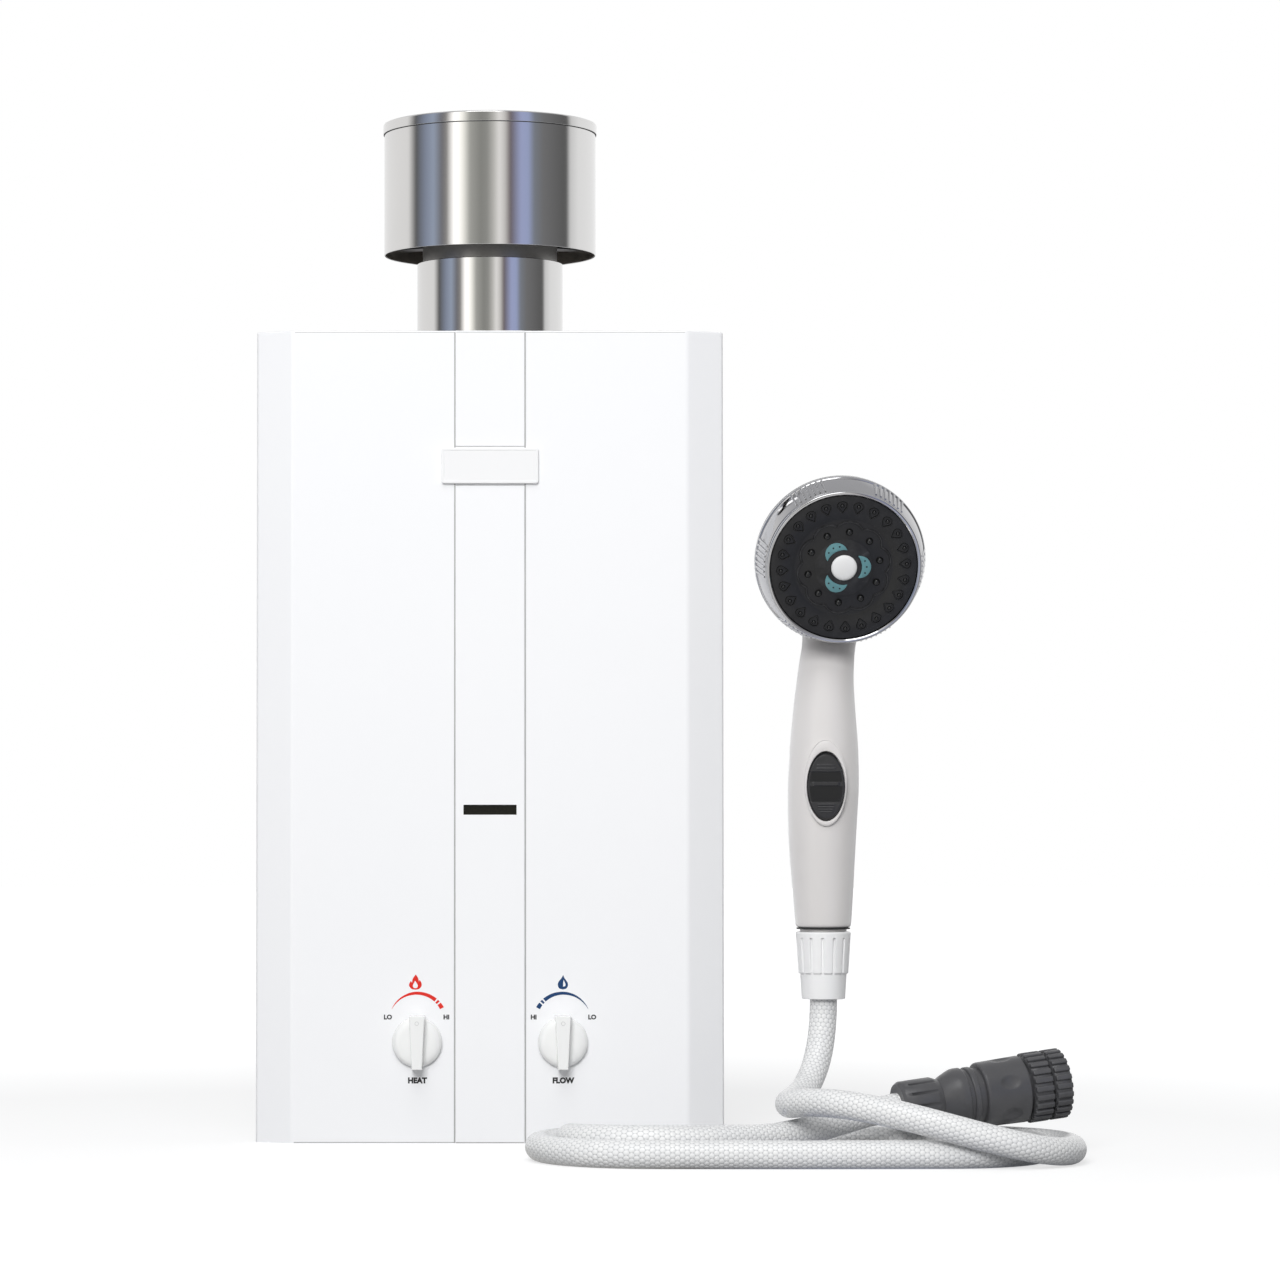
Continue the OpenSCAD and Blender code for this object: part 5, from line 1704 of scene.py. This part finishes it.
@dataclass
class SprayHead:
    """The chrome ring, the black face with its nozzles and the centre cap."""

    make: Sculptor
    ring_r: float = 75.0
    ring_low: float = 2.3
    ring_d: float = 32.0
    face_r: float = 64.5
    face_z: float = 32.3
    cap_r: float = 11.3

    def build(self) -> None:
        """Builds the ring, the face and everything on it."""
        self.ring()
        self.face()
        self.nozzles()
        self.fields()
        self.cap()

    def ring(self) -> None:
        """Chrome ring: a conical wall, a rolled front rim and groups of grip ribs."""
        r, z, top = self.ring_r, self.ring_low, self.ring_low + self.ring_d
        f = self.face_r
        profile = [
            (r - 6, z), (r - 1.6, z), (r - 0.5, z + 0.4), (r, z + 1.5), (r, z + 4.4),
            (r - 0.5, z + 5.4), (r - 1.5, z + 6.0), (f + 4.6, top - 4.6), (f + 3.6, top - 3.4),
            (f + 3.7, top - 1.9), (f + 3.2, top - 0.7), (f + 2.2, top), (f + 1.0, top),
            (f + 0.15, top - 0.8), (f + 0.15, top - 8), (r - 6, z + 6),
        ]
        bm = spun(profile, 160, True)
        start, end = Vector((r - 1.2, 0, z + 6.6)), Vector((f + 4.7, 0, top - 5.0))
        way = end - start
        tilt = way.to_track_quat("Z", "Y").to_matrix().to_4x4()
        for group in range(6):
            for k in range(7):
                turn = math.radians(56.6 + group * 60 + (k - 3) * 3.8)
                rib = bmesh.ops.create_cone(
                    bm, cap_ends=True, segments=10, radius1=1.25, radius2=0.95, depth=way.length
                )
                place = Matrix.Rotation(turn, 4, "Z") @ Matrix.Translation(start + way / 2) @ tilt
                bmesh.ops.transform(bm, matrix=place, verts=rib["verts"])
        self.make.piece(
            bm, "chrome_grip_ring", "spray_head", "chrome", Place.HEAD, ["spray_ring"], sharp=40
        )

    def face(self) -> None:
        """The black plate, with a shallow step and a scalloped bead."""
        f, z = self.face_r - 0.1, self.face_z
        profile = [
            (4.4, z - 6), (f, z - 6), (f, z - 1.1), (f - 0.5, z - 0.3), (f - 1.6, z), (44.4, z),
            (43.9, z - 0.35), (42.6, z - 0.45), (26, z - 0.5), (25.4, z - 0.2), (24.9, z), (4.4, z),
        ]
        bm = spun(profile, 128, True)
        line = []
        for a in full_turn(240):
            r = 36.4 + 4.6 * abs(math.cos(5 * (a - 0.2))) ** 0.7
            line.append((r * math.cos(a), r * math.sin(a)))
        ridge(bm, line, 2.0, z - 0.7, z + 0.95)
        self.make.piece(bm, "spray_plate", "spray_head", "face_black", Place.HEAD, ["face_plate"], sharp=40)

    def nozzles(self) -> None:
        """Outer teardrop nozzles, inner round ones, and dark discs painted on their tips as the shade of
        their holes.
        """
        bm, bore_shades = bmesh.new(), bmesh.new()
        z = self.face_z
        tear = [
            (-5.4, 0), (-3.2, 1.8), (-0.6, 3.7), (1.8, 4.1), (3.7, 2.4), (4.3, 0), (3.7, -2.4),
            (1.8, -4.1), (-0.6, -3.7), (-3.2, -1.8),
        ]
        loop = curve_through([(x, y, 0) for x, y in tear], 3, closed=True)
        for k in range(24):
            turn = Matrix.Rotation(2 * math.pi * k / 24 + 0.06, 4, "Z") @ Matrix.Translation((54.2, 0, 0))
            ridge(bm, [((turn @ p).x, (turn @ p).y) for p in loop], 1.4, z - 0.1, z + 1.15)
            self.nub(bm, bore_shades, turn @ Matrix.Translation((0.9, 0, z - 0.1)), 1.9, 1.9)
        for k in range(10):
            turn = Matrix.Rotation(2 * math.pi * k / 10 + 0.2, 4, "Z") @ Matrix.Translation((31.8, 0, 0))
            self.nub(bm, bore_shades, turn @ Matrix.Translation((0, 0, z - 0.6)), 3.3, 3.6)
        # painted shade: the dark discs on the nozzle tips stand for the shade inside their holes
        made = {"spray_nozzles": (bm, "nozzle_gloss"), "nozzle_bore_shades": (bore_shades, "shade_black")}
        for name, (shape, finish) in made.items():
            self.make.piece(shape, name, "spray_head", "face_black", Place.HEAD, finish=finish, sharp=50)

    def nub(self, bm: Shape, bore_shades: Shape, place: Matrix, r: float, h: float) -> None:
        """Adds one soft nozzle and a dark disc on its tip, painted as the shade of its hole.

        Args:
            bm: the bmesh of the nozzles.
            bore_shades: the bmesh of the dark discs painted on the tips as the shade of their holes.
            place: the nozzle's foot.
            r: its radius.
            h: its height.
        """
        body = [(0, 0), (1, 0), (0.92, 0.35), (0.7, 0.72), (0.45, 0.96), (0, 1)]
        bore = [(0, 0.9), (0.3, 0.9), (0.3, 1.02), (0, 1.02)]
        for target, shares, steps in ((bm, body, 16), (bore_shades, bore, 10)):
            one = spun([(r * across, h * up) for across, up in shares], steps)
            bmesh.ops.remove_doubles(one, verts=one.verts, dist=WELD)
            one.transform(place)
            merge(target, one)

    def fields(self) -> None:
        """The three teal crescents, each with three dark discs painted as the shade of pin holes."""
        bm, holes = bmesh.new(), bmesh.new()
        middle, outer, inner = 13.8, 9.9, 15.7
        cross = math.acos((middle**2 + outer**2 - inner**2) / (2 * middle * outer))
        sweep = math.pi - cross
        reach = math.atan2(outer * math.sin(sweep), middle + outer * math.cos(sweep))
        z = self.face_z
        outside = circle(outer, 0, [sweep * (i / 12 - 1) for i in range(25)])
        line = [p + Vector((middle, 0, 0)) for p in outside]
        line += circle(inner, 0, [reach * (1 - i / 8) for i in range(1, 16)])
        for turn in (2, 120, 244):
            place = Matrix.Rotation(math.radians(turn), 4, "Z")
            prism(bm, [((place @ p).x, (place @ p).y) for p in line], z - 0.4, z + 0.75, 0.25)
            for x, y in ((18.3, -5.4), (19.9, 0), (18.3, 5.4)):
                spot = place @ Vector((x, y, z + 0.7))
                rod(holes, 0.8, 0.2, Matrix.Translation(spot), 14)
        self.make.piece(
            bm, "teal_fields", "spray_head", "teal_plastic", Place.HEAD, ["nozzle_crescents"], sharp=40
        )
        # painted shade: dark discs stand for the shade inside the pin holes
        self.make.piece(
            holes, "field_pin_hole_shades", "spray_head", "teal_plastic", Place.HEAD, finish="pin_hole_shade"
        )

    def cap(self) -> None:
        """The white centre cap on its post."""
        r, z = self.cap_r, self.face_z + 0.3
        profile = [
            (0, -9), (3.9, -9), (3.9, z), (r - 0.6, z), (r, z + 0.6), (r, z + 1.5), (r - 0.5, z + 2.3),
            (r - 1.8, z + 3.0), (r - 4.5, z + 3.6), (0, z + 4.0),
        ]
        bm = spun(profile, 72)
        self.make.piece(bm, "centre_button", "handset", "cap_white", Place.HEAD, ["centre_cap"], sharp=50)


@dataclass
class HoseLine:
    """The braided hose, its ribbed nut and the coupling at its far end."""

    make: Sculptor
    radius: float = 12.0
    sides: int = 40
    cells: int = 16
    step: float = 4.0
    reach: int = 4
    coil_x: float = 262.5
    coil_y: float = -306.0
    coil_run: float = 122.0
    coil_r: float = 113.5
    coil_step: float = 26.0
    nut_low: float = 134.5
    nut_top: float = 193.5
    nut_r: float = 24.2
    pads: int = 14
    pad_steps: int = 24
    pad_pitch: float = 10.28
    lead: list[Point] = field(default_factory=lambda: [
        (293, -205, 134.5), (293, -205, 110), (290, -211, 91), (284, -223, 72), (276, -240, 58),
        (266, -260, 50), (257, -283, 48), (254, -306, 48), (258, -329, 50), (269, -352, 53),
        (288, -373, 54), (314, -390, 51), (345, -402, 45), (380, -411, 36), (414, -415, 27),
        (446, -411, 19), (473, -393, 14), (490, -365, 12.3), (497, -335, 12)])
    tail: list[Point] = field(default_factory=lambda: [
        (71, -332, 21), (86, -353, 22), (110, -367, 22), (138, -370, 22), (172, -362, 21),
        (210, -343, 20.5), (248, -318, 21), (288, -293, 28.5)])

    def route(self) -> list[Vector]:
        """The hose's centreline from the nut to the coupling.

        Returns:
            Its points in millimetres.
        """
        points = [Vector(p) for p in self.lead]
        for k in range(37):
            turn = k / 24
            a, r = 2 * math.pi * turn, self.coil_r - self.coil_step * turn
            straight = self.coil_run * max(-1.0, min(1.0, 4 * math.cos(a)))
            x, y = self.coil_x + straight + r * math.cos(a), self.coil_y + r * math.sin(a)
            points.append(Vector((x, y, self.radius + 8 * max(0.0, (turn - 1.25) * 4))))
        points += [Vector(p) for p in self.tail]
        at = Place.COUPLING.matrix() @ Vector((0, 0, 0)) / MM
        way = (Place.COUPLING.matrix() @ Vector((0, 0, 1)) / MM - at).normalized()
        points += [at - way * 24, at]
        line = relaxed(points, self.step, self.reach)
        for p in line:
            p.z = max(p.z, self.radius)
        return line

    def build(self) -> None:
        line = self.route()
        hose = self.hose(line)
        nut = self.nut()
        pieces = [nut] + self.coupling()
        length = sum((b - a).length for a, b in zip(line, line[1:])) * MM
        LOG.info("hose length %.3f m", length)

    def hose(self, line: Sequence[Vector]) -> Thing:
        """The tube round the route, with the UV map that its braid follows.

        Args:
            line: the centreline in millimetres.

        Returns:
            The hose.
        """
        bm = bmesh.new()
        layer = bm.loops.layers.uv.new("braid")
        across = Vector((1, 0, 0))
        rings, runs, run = [], [], 0.0
        for i, p in enumerate(line):
            ahead, behind = line[min(i + 1, len(line) - 1)], line[max(i - 1, 0)]
            way = (ahead - behind).normalized()
            across = (across - way * across.dot(way)).normalized()
            side = way.cross(across)
            run += (p - line[i - 1]).length if i else 0.0
            runs.append(run)
            ways = [across * math.cos(a) + side * math.sin(a) for a in full_turn(self.sides)]
            rings.append([bm.verts.new((p + self.radius * out) * MM) for out in ways])
        pitch = 2 * math.pi * self.radius / self.cells
        for i in range(len(rings) - 1):
            for k in range(self.sides):
                n = (k + 1) % self.sides
                face = bm.faces.new((rings[i][k], rings[i][n], rings[i + 1][n], rings[i + 1][k]))
                corners = ((k, i), (k + 1, i), (k + 1, i + 1), (k, i + 1))
                for loop, (u, v) in zip(face.loops, corners):
                    loop[layer].uv = (u * self.cells / self.sides, runs[v] / (pitch * 1.732))
        bm.faces.new(rings[0][::-1])
        bm.faces.new(rings[-1])
        name = "braided_hose"
        nodes = ["hose_lead", "hose_coil"]
        return self.make.dress(as_mesh(bm, name), name, "heater", "hose_white", nodes, sharp=60)

    def pad_share(self, x: float, z: float) -> float:
        """How far a point of the nut's wall lies on a pad: 0 in a groove, 1 on a pad.

        Args:
            x: distance along the wall from the pad's middle.
            z: height over the nut's foot.

        Returns:
            The share.
        """
        tall = self.nut_top - self.nut_low
        low, high, corner, groove = 0.38 * tall, 0.89 * tall, 1.4, 1.05
        beside = self.pad_pitch / 2 - abs(x)
        if z > low + 3:
            inside = (beside if z < high else math.hypot(beside, z - high)) - groove
        else:
            a, b = corner - (beside - groove), low + corner - z
            inside = corner - math.hypot(max(a, 0.0), max(b, 0.0)) - min(max(a, b), 0.0)
        return soft(inside, -0.35, 0.35)

    def nut_wall(self, z: float, turns: Sequence[float]) -> list[Vector]:
        """A ring of the nut's outer wall, with the pads on it.

        Args:
            z: its height.
            turns: the angle of each point.

        Returns:
            The ring's points.
        """
        r = self.nut_r
        u = (z - self.nut_low) / (self.nut_top - self.nut_low)
        outer = r - 2.3 * (1 - u) / 0.62
        inner = min(outer - 1.5, r - 3.9 + 1.2 * (u - 0.38))
        line = []
        for i, a in enumerate(turns):
            x = ((i / self.pad_steps) % 1.0 - 0.5) * self.pad_pitch
            radius = inner + (outer - inner) * self.pad_share(x, z - self.nut_low)
            line.append(Vector((radius * math.cos(a), radius * math.sin(a), z)))
        return line

    def nut(self) -> Thing:
        """The white nut: a cone with raised pads that run into a plain band at its top.

        Returns:
            The nut.
        """
        r, low, top = self.nut_r, self.nut_low, self.nut_top
        h = top - low
        bore, lip, shelf = 12.3, 15.9, top - 41.5
        turns = full_turn(self.pads * self.pad_steps, math.radians(-95.7))
        heights = [low + 0.9 + (0.34 * h - 0.9) * i / 5 for i in range(5)]
        heights += [low + h * (0.34 + 0.6 * i / 72) for i in range(73)] + [top - 2.2, top - 1.3]
        foot = ((bore, low + 0.4), (bore + 0.6, low), (r - 6.0, low), (r - 5.2, low + 0.35))
        head = (
            (r - 0.25, top - 0.6), (r - 0.6, top - 0.2), (r - 1.2, top), (lip, top), (lip, shelf),
            (bore, shelf),
        )
        rings = [circle(radius, z, turns) for radius, z in foot]
        rings += [self.nut_wall(z, turns) for z in heights]
        rings += [circle(radius, z, turns) for radius, z in head]
        bm = bmesh.new()
        loft(bm, rings, ends=False, loop=True)
        return self.make.piece(
            bm, "ribbed_hose_nut", "hose_nut", "nut_white", Place.HANDLE, ["hose_nut"], sharp=50
        )

    def barrel(self) -> Thing:
        """The coupling's body: shoulder, rings and a flared barrel with oval dimples.

        Returns:
            The body.
        """
        shoulder = [
            (0, 0.3), (11.9, 0.3), (11.9, 37.3), (18.5, 37.3), (21.2, 41.5), (24.5, 48.6),
            (25.6, 51.5), (26, 54), (26, 58.4), (25.6, 59.1), (24, 59.8), (24, 63), (25.2, 63.5),
            (25.6, 64.4), (25.6, 67.6), (25.2, 68.5), (24, 69), (24, 73.8), (27.0, 74.3), (27.9, 75.2),
        ]
        neck = [
            (28.6, 113.8), (27.9, 114), (22, 114), (22, 135.5), (9, 135.5), (9, 139.5), (6, 139.5),
            (6, 30), (0, 30),
        ]
        low, high, middle = 76.5, 113.2, 96.0
        turns = full_turn(240)
        rings = [circle(r, z, turns) for r, z in shoulder]
        for k in range(50):
            z = low + (high - low) * k / 49
            line = []
            for a in turns:
                apart = (a - math.radians(10) + math.pi / 6) % (math.pi / 3) - math.pi / 6
                dimple = 1 - (apart * 28.6 / 6.4) ** 2 - ((z - middle) / 9.2) ** 2
                r = 28.2 + 0.9 * (z - low) / (high - low) - 1.8 * max(0.0, dimple)
                line.append(Vector((r * math.cos(a), r * math.sin(a), z)))
            rings.append(line)
        rings += [circle(r, z, turns) for r, z in neck]
        bm = bmesh.new()
        loft(bm, rings, ends=False)
        return self.make.piece(
            bm, "coupling_barrel", "heater", "coupling_grey", Place.COUPLING, ["coupling_body"], sharp=18
        )

    def coupling(self) -> list[Thing]:
        """The dark coupling: tail nut, body, collar and end ring.

        Returns:
            Its pieces.
        """
        made = [self.make.smooth_copy("coupling_tail_nut", 30), self.barrel()]
        made.append(self.grip_ring("coupling_collar", 117.5, 134.5, [(22.3, 117.5)], [(22.3, 134.5)]))
        seat = [(13.4, 152.0), (13.4, 140.0), (9.4, 140.0)]
        made.append(self.grip_ring("coupling_end_ring", 137.0, 152.0, [(9.4, 137.0)], seat))
        return made + [frame["nodes"]["hose_ferrule"]]

    def grip_ring(
        self, node: str, low: float, high: float, foot: list[Point], seat: list[Point]
    ) -> Thing:
        """A turned ring of the coupling, with ribs round it.

        Args:
            node: the CAD node that it stands for.
            low: its near end.
            high: its far end.
            foot: points of its bore at the near end.
            seat: points of its bore from the far end back.

        Returns:
            The ring.
        """
        r = 30.6
        wall = [(r - 3.3, low), (r - 2.3, low + 0.9), (r - 2.3, high - 0.9), (r - 3.3, high)]
        bm = spun(foot + wall + seat, 120, True)
        for a in full_turn(24):
            turn = Matrix.Rotation(a, 4, "Z")
            block(bm, (r - 4.2, -2.5, low + 0.2), (r, 2.5, high - 0.2), 1.15, 4, turn)
        return self.make.piece(
            bm, node + "_dressed", self.make.bodies[node], "coupling_grey", Place.COUPLING, [node],
            sharp=50,
        )


@dataclass
class Underside:
    """What shows from below and behind: plates, covers, fittings, boxes and the battery door."""

    make: Sculptor
    bead_w: float = 12.0
    bead_depth: float = 0.9
    thread_pitch: float = 1.8
    # Each pipe end: its place, its outer radius, and the thread's lower and upper end.
    pipes: tuple[tuple[float, ...], ...] = (
        (-KNOB_X, -50, 7.9, 18.6, 35.6), (KNOB_X, -50, 13.2, 12.6, 35.6), (-150, 51, 13.2, 12.6, 35.6))
    turned: tuple[str, ...] = (
        "gas_inlet_fitting", "cold_inlet_fitting", "hot_outlet_fitting", "diaphragm_cover", "draft_hood")
    boxes: tuple[tuple[str, float], ...] = (
        ("battery_door", 0.5), ("battery_box", 0.6), ("valve_bridge", 0.3), ("control_box", 1.0))

    def build(self) -> None:
        """Dresses the CAD pieces that keep their shape."""
        for node in self.turned:
            self.make.smooth_copy(node, 25)
        for node, bevel in self.boxes:
            self.make.smooth_copy(node, 30, bevel)
        self.threads()
        self.back_plate()

    def threads(self) -> None:
        """Turned thread lines on the three pipe ends."""
        bm = bmesh.new()
        for x, y, r, low, high in self.pipes:
            for k in range(int((high - low) / self.thread_pitch)):
                z = low + self.thread_pitch * (k + 0.5)
                one = spun([(r - 0.3, z - 0.55), (r + 0.02, z), (r - 0.3, z + 0.55)], 48, True)
                one.transform(Matrix.Translation((x, y, 0)))
                merge(bm, one)
        self.make.piece(bm, "pipe_threads", "heater", "brass")

    def back_plate(self) -> None:
        """The back plate, with stiffening beads pressed into it from behind."""
        made = self.make.smooth_copy("back_plate", 30)
        half, bend = self.bead_w / 2, self.bead_depth - 0.05
        foot, proud = BACK_Y - self.bead_depth, BACK_Y + 3
        ends = [((x - half, foot, 110), (x + half, proud, 625)) for x in (-110, 110)]
        ends += [((-80, foot, z - half), (80, proud, z + half)) for z in (200, 535)]
        self.make.cut(made, [block(bmesh.new(), low, high, bend, 4) for low, high in ends])
        made.data.shade_smooth()
        made.data.set_sharp_from_angle(angle=math.radians(30))


class Studio:
    """Camera, lamps, floor and surroundings."""

    FOCUS_PX, CENTRE_X, FRAME_PX = 4753.4, 490.0, 1280.0
    EYE, LOOK_UP = (0.0, -4.390, 0.300), 2.052
    FLOOR_GLOSS = 0.62  # how strongly the floor shows the panels to bright metal

    # Surroundings that bright metal mirrors: angle from straight behind the
    # camera, and brightness of the panel there.
    PANELS = [
        (-180, (0.95, 0.95, 0.95)), (-100, (0.90, 0.89, 0.88)), (-88, (0.12, 0.12, 0.12)),
        (-74, (0.28, 0.32, 0.42)), (-64, (0.38, 0.44, 0.56)), (-54, (0.20, 0.20, 0.22)),
        (-48, (0.30, 0.29, 0.28)), (-38, (1.75, 1.72, 1.68)), (-30, (1.25, 1.23, 1.15)),
        (-22, (0.46, 0.46, 0.43)), (-10, (0.30, 0.30, 0.28)), (-3, (0.34, 0.34, 0.32)),
        (4, (0.62, 0.61, 0.58)), (10, (0.98, 0.96, 0.94)), (16, (0.72, 0.70, 0.68)),
        (22, (0.17, 0.14, 0.15)), (34, (0.42, 0.47, 0.72)), (42, (0.40, 0.46, 0.70)),
        (49, (0.24, 0.26, 0.30)), (60, (0.20, 0.20, 0.205)), (88, (0.13, 0.13, 0.13)),
        (92, (0.14, 0.14, 0.14)), (98, (0.75, 0.75, 0.75)), (112, (0.93, 0.93, 0.93)),
        (180, (0.92, 0.92, 0.92)),
    ]

    def camera(self) -> None:
        """A long lens in front of the heater, looking up by two degrees."""
        data = bpy.data.cameras.new("camera")
        data.sensor_width = 36.0
        data.lens = self.FOCUS_PX / self.FRAME_PX * data.sensor_width
        data.shift_x = (self.FRAME_PX / 2 - self.CENTRE_X) / self.FRAME_PX
        data.clip_start = 0.1
        data.clip_end = 60.0
        made = show("camera", data)
        made.location = self.EYE
        made.rotation_euler = (math.radians(90 + self.LOOK_UP), 0.0, 0.0)
        bpy.context.scene.camera = made

    def panels(self, tree: Tree, way: Socket) -> Socket:
        """The colour of the panel that stands in a direction.

        Args:
            tree: the node tree that takes it.
            way: the direction, or a place round the object.

        Returns:
            The colour.
        """
        apart = tree.add("ShaderNodeSeparateXYZ")
        tree.feed(apart.inputs[0], way)
        angle = tree.math("ARCTAN2", apart.outputs[0], tree.math("MULTIPLY", apart.outputs[1], -1.0))
        ramp = tree.add("ShaderNodeValToRGB")
        tree.feed(ramp.inputs[0], tree.span(angle, -math.pi, math.pi))
        stops = ramp.color_ramp.elements
        for i, (turn, colour) in enumerate(self.PANELS):
            at = (turn + 180) / 360
            stop = stops.new(at) if i else stops[0]
            stop.position = at
            stop.color = (*colour, 1.0)
        stops.remove(stops[len(stops) - 1])
        return ramp.outputs[0]

    def world(self) -> None:
        """White to the camera, plain to matt surfaces, panels to bright metal."""
        world = bpy.data.worlds.new("studio")
        bpy.context.scene.world = world
        world.use_nodes = True
        tree = Tree(world.node_tree)
        world.node_tree.nodes.clear()
        way = tree.add("ShaderNodeTexCoord").outputs["Generated"]
        height = tree.add("ShaderNodeSeparateXYZ")
        tree.feed(height.inputs[0], way)
        rise = tree.span(height.outputs[2], 0.45, 0.8)
        panels = tree.mix(rise, self.panels(tree, way), (0.57, 0.57, 0.58))
        paths = tree.add("ShaderNodeLightPath")
        matt = tree.mix(paths.outputs["Is Glossy Ray"], (0.365, 0.37, 0.38), panels)
        shown = tree.mix(paths.outputs["Is Camera Ray"], matt, (1.0, 1.0, 1.0))
        back = tree.add("ShaderNodeBackground")
        tree.feed(back.inputs[0], shown)
        out = tree.add("ShaderNodeOutputWorld")
        tree.feed(out.inputs[0], back.outputs[0])

    def floor(self) -> None:
        """A pale floor that keeps the shadow, shows metal the panels, and is clear from below."""
        bm = bmesh.new()
        bmesh.ops.create_grid(bm, x_segments=1, y_segments=1, size=14.0)
        made = show("floor", as_mesh(bm, "floor"))
        material, tree, shader = new_material("floor")
        plain = {"Base Color": (0.38, 0.38, 0.38), "Roughness": 0.9, "Specular IOR Level": 0.0}
        tree.fill(shader, plain)
        paths = tree.add("ShaderNodeLightPath")
        place = tree.add("ShaderNodeTexCoord").outputs["Object"]
        glow = tree.span(tree.vector("LENGTH", place), 0.75, 2.0, 0.68, 0.94)
        seen = tree.math("MULTIPLY", paths.outputs["Is Camera Ray"], glow)
        glossy = paths.outputs["Is Glossy Ray"]
        mirrored = tree.math("MULTIPLY", glossy, self.FLOOR_GLOSS)
        tree.fill(shader, {
            "Emission Color": tree.mix(glossy, (1.0, 1.0, 1.0), self.panels(tree, place)),
            "Emission Strength": tree.math("ADD", seen, mirrored),
        })
        sides = tree.add("ShaderNodeMixShader")
        tree.feed(sides.inputs[0], tree.add("ShaderNodeNewGeometry").outputs["Backfacing"])
        tree.feed(sides.inputs[1], shader.outputs[0])
        tree.feed(sides.inputs[2], tree.add("ShaderNodeBsdfTransparent").outputs[0])
        surface = material.node_tree.nodes["Material Output"].inputs["Surface"]
        tree.feed(surface, sides.outputs[0])
        made.data.materials.append(material)

    def lamps(self) -> None:
        """A broad lamp in front and a softer one above, whose gleam shows on round plastic."""
        self.lamp("key", (-0.6, -4.6, 2.2), 1.6, 146.0, False)
        self.lamp("top", (-0.3, -2.5, 3.5), 2.0, 35.0, True)

    def lamp(self, name: str, at: Point, size: float, power: float, gleams: bool) -> None:
        """A square lamp that points at the middle of the object.

        Args:
            name: its name.
            at: its place.
            size: length of its sides.
            power: its power in watts.
            gleams: whether glossy surfaces mirror it.
        """
        data = bpy.data.lights.new(name, "AREA")
        data.shape = "SQUARE"
        data.size = size
        data.energy = power
        lamp = show(name, data)
        lamp.location = at
        way = Vector((0.1, -0.1, 0.42)) - Vector(at)
        lamp.rotation_euler = way.to_track_quat("-Z", "Y").to_euler()
        lamp.visible_glossy = gleams

    def build(self) -> None:
        """Builds the surroundings; the camera is made before."""
        self.world()
        self.floor()
        self.lamps()


def main() -> None:
    """Builds the scene: camera and hose first, then the rest."""
    logging.basicConfig(level=logging.INFO, format="%(message)s")
    bpy.context.scene.view_settings.view_transform = "Standard"
    studio = Studio()
    studio.camera()
    make = Sculptor(FinishBook(), frame["record"])
    for maker in (HoseLine, Casing, Controls, FlueCap, HandShower, SprayHead, Underside):
        maker(make).build()
    make.paint_nodes()
    studio.build()


if __name__ == "__main__":
    main()
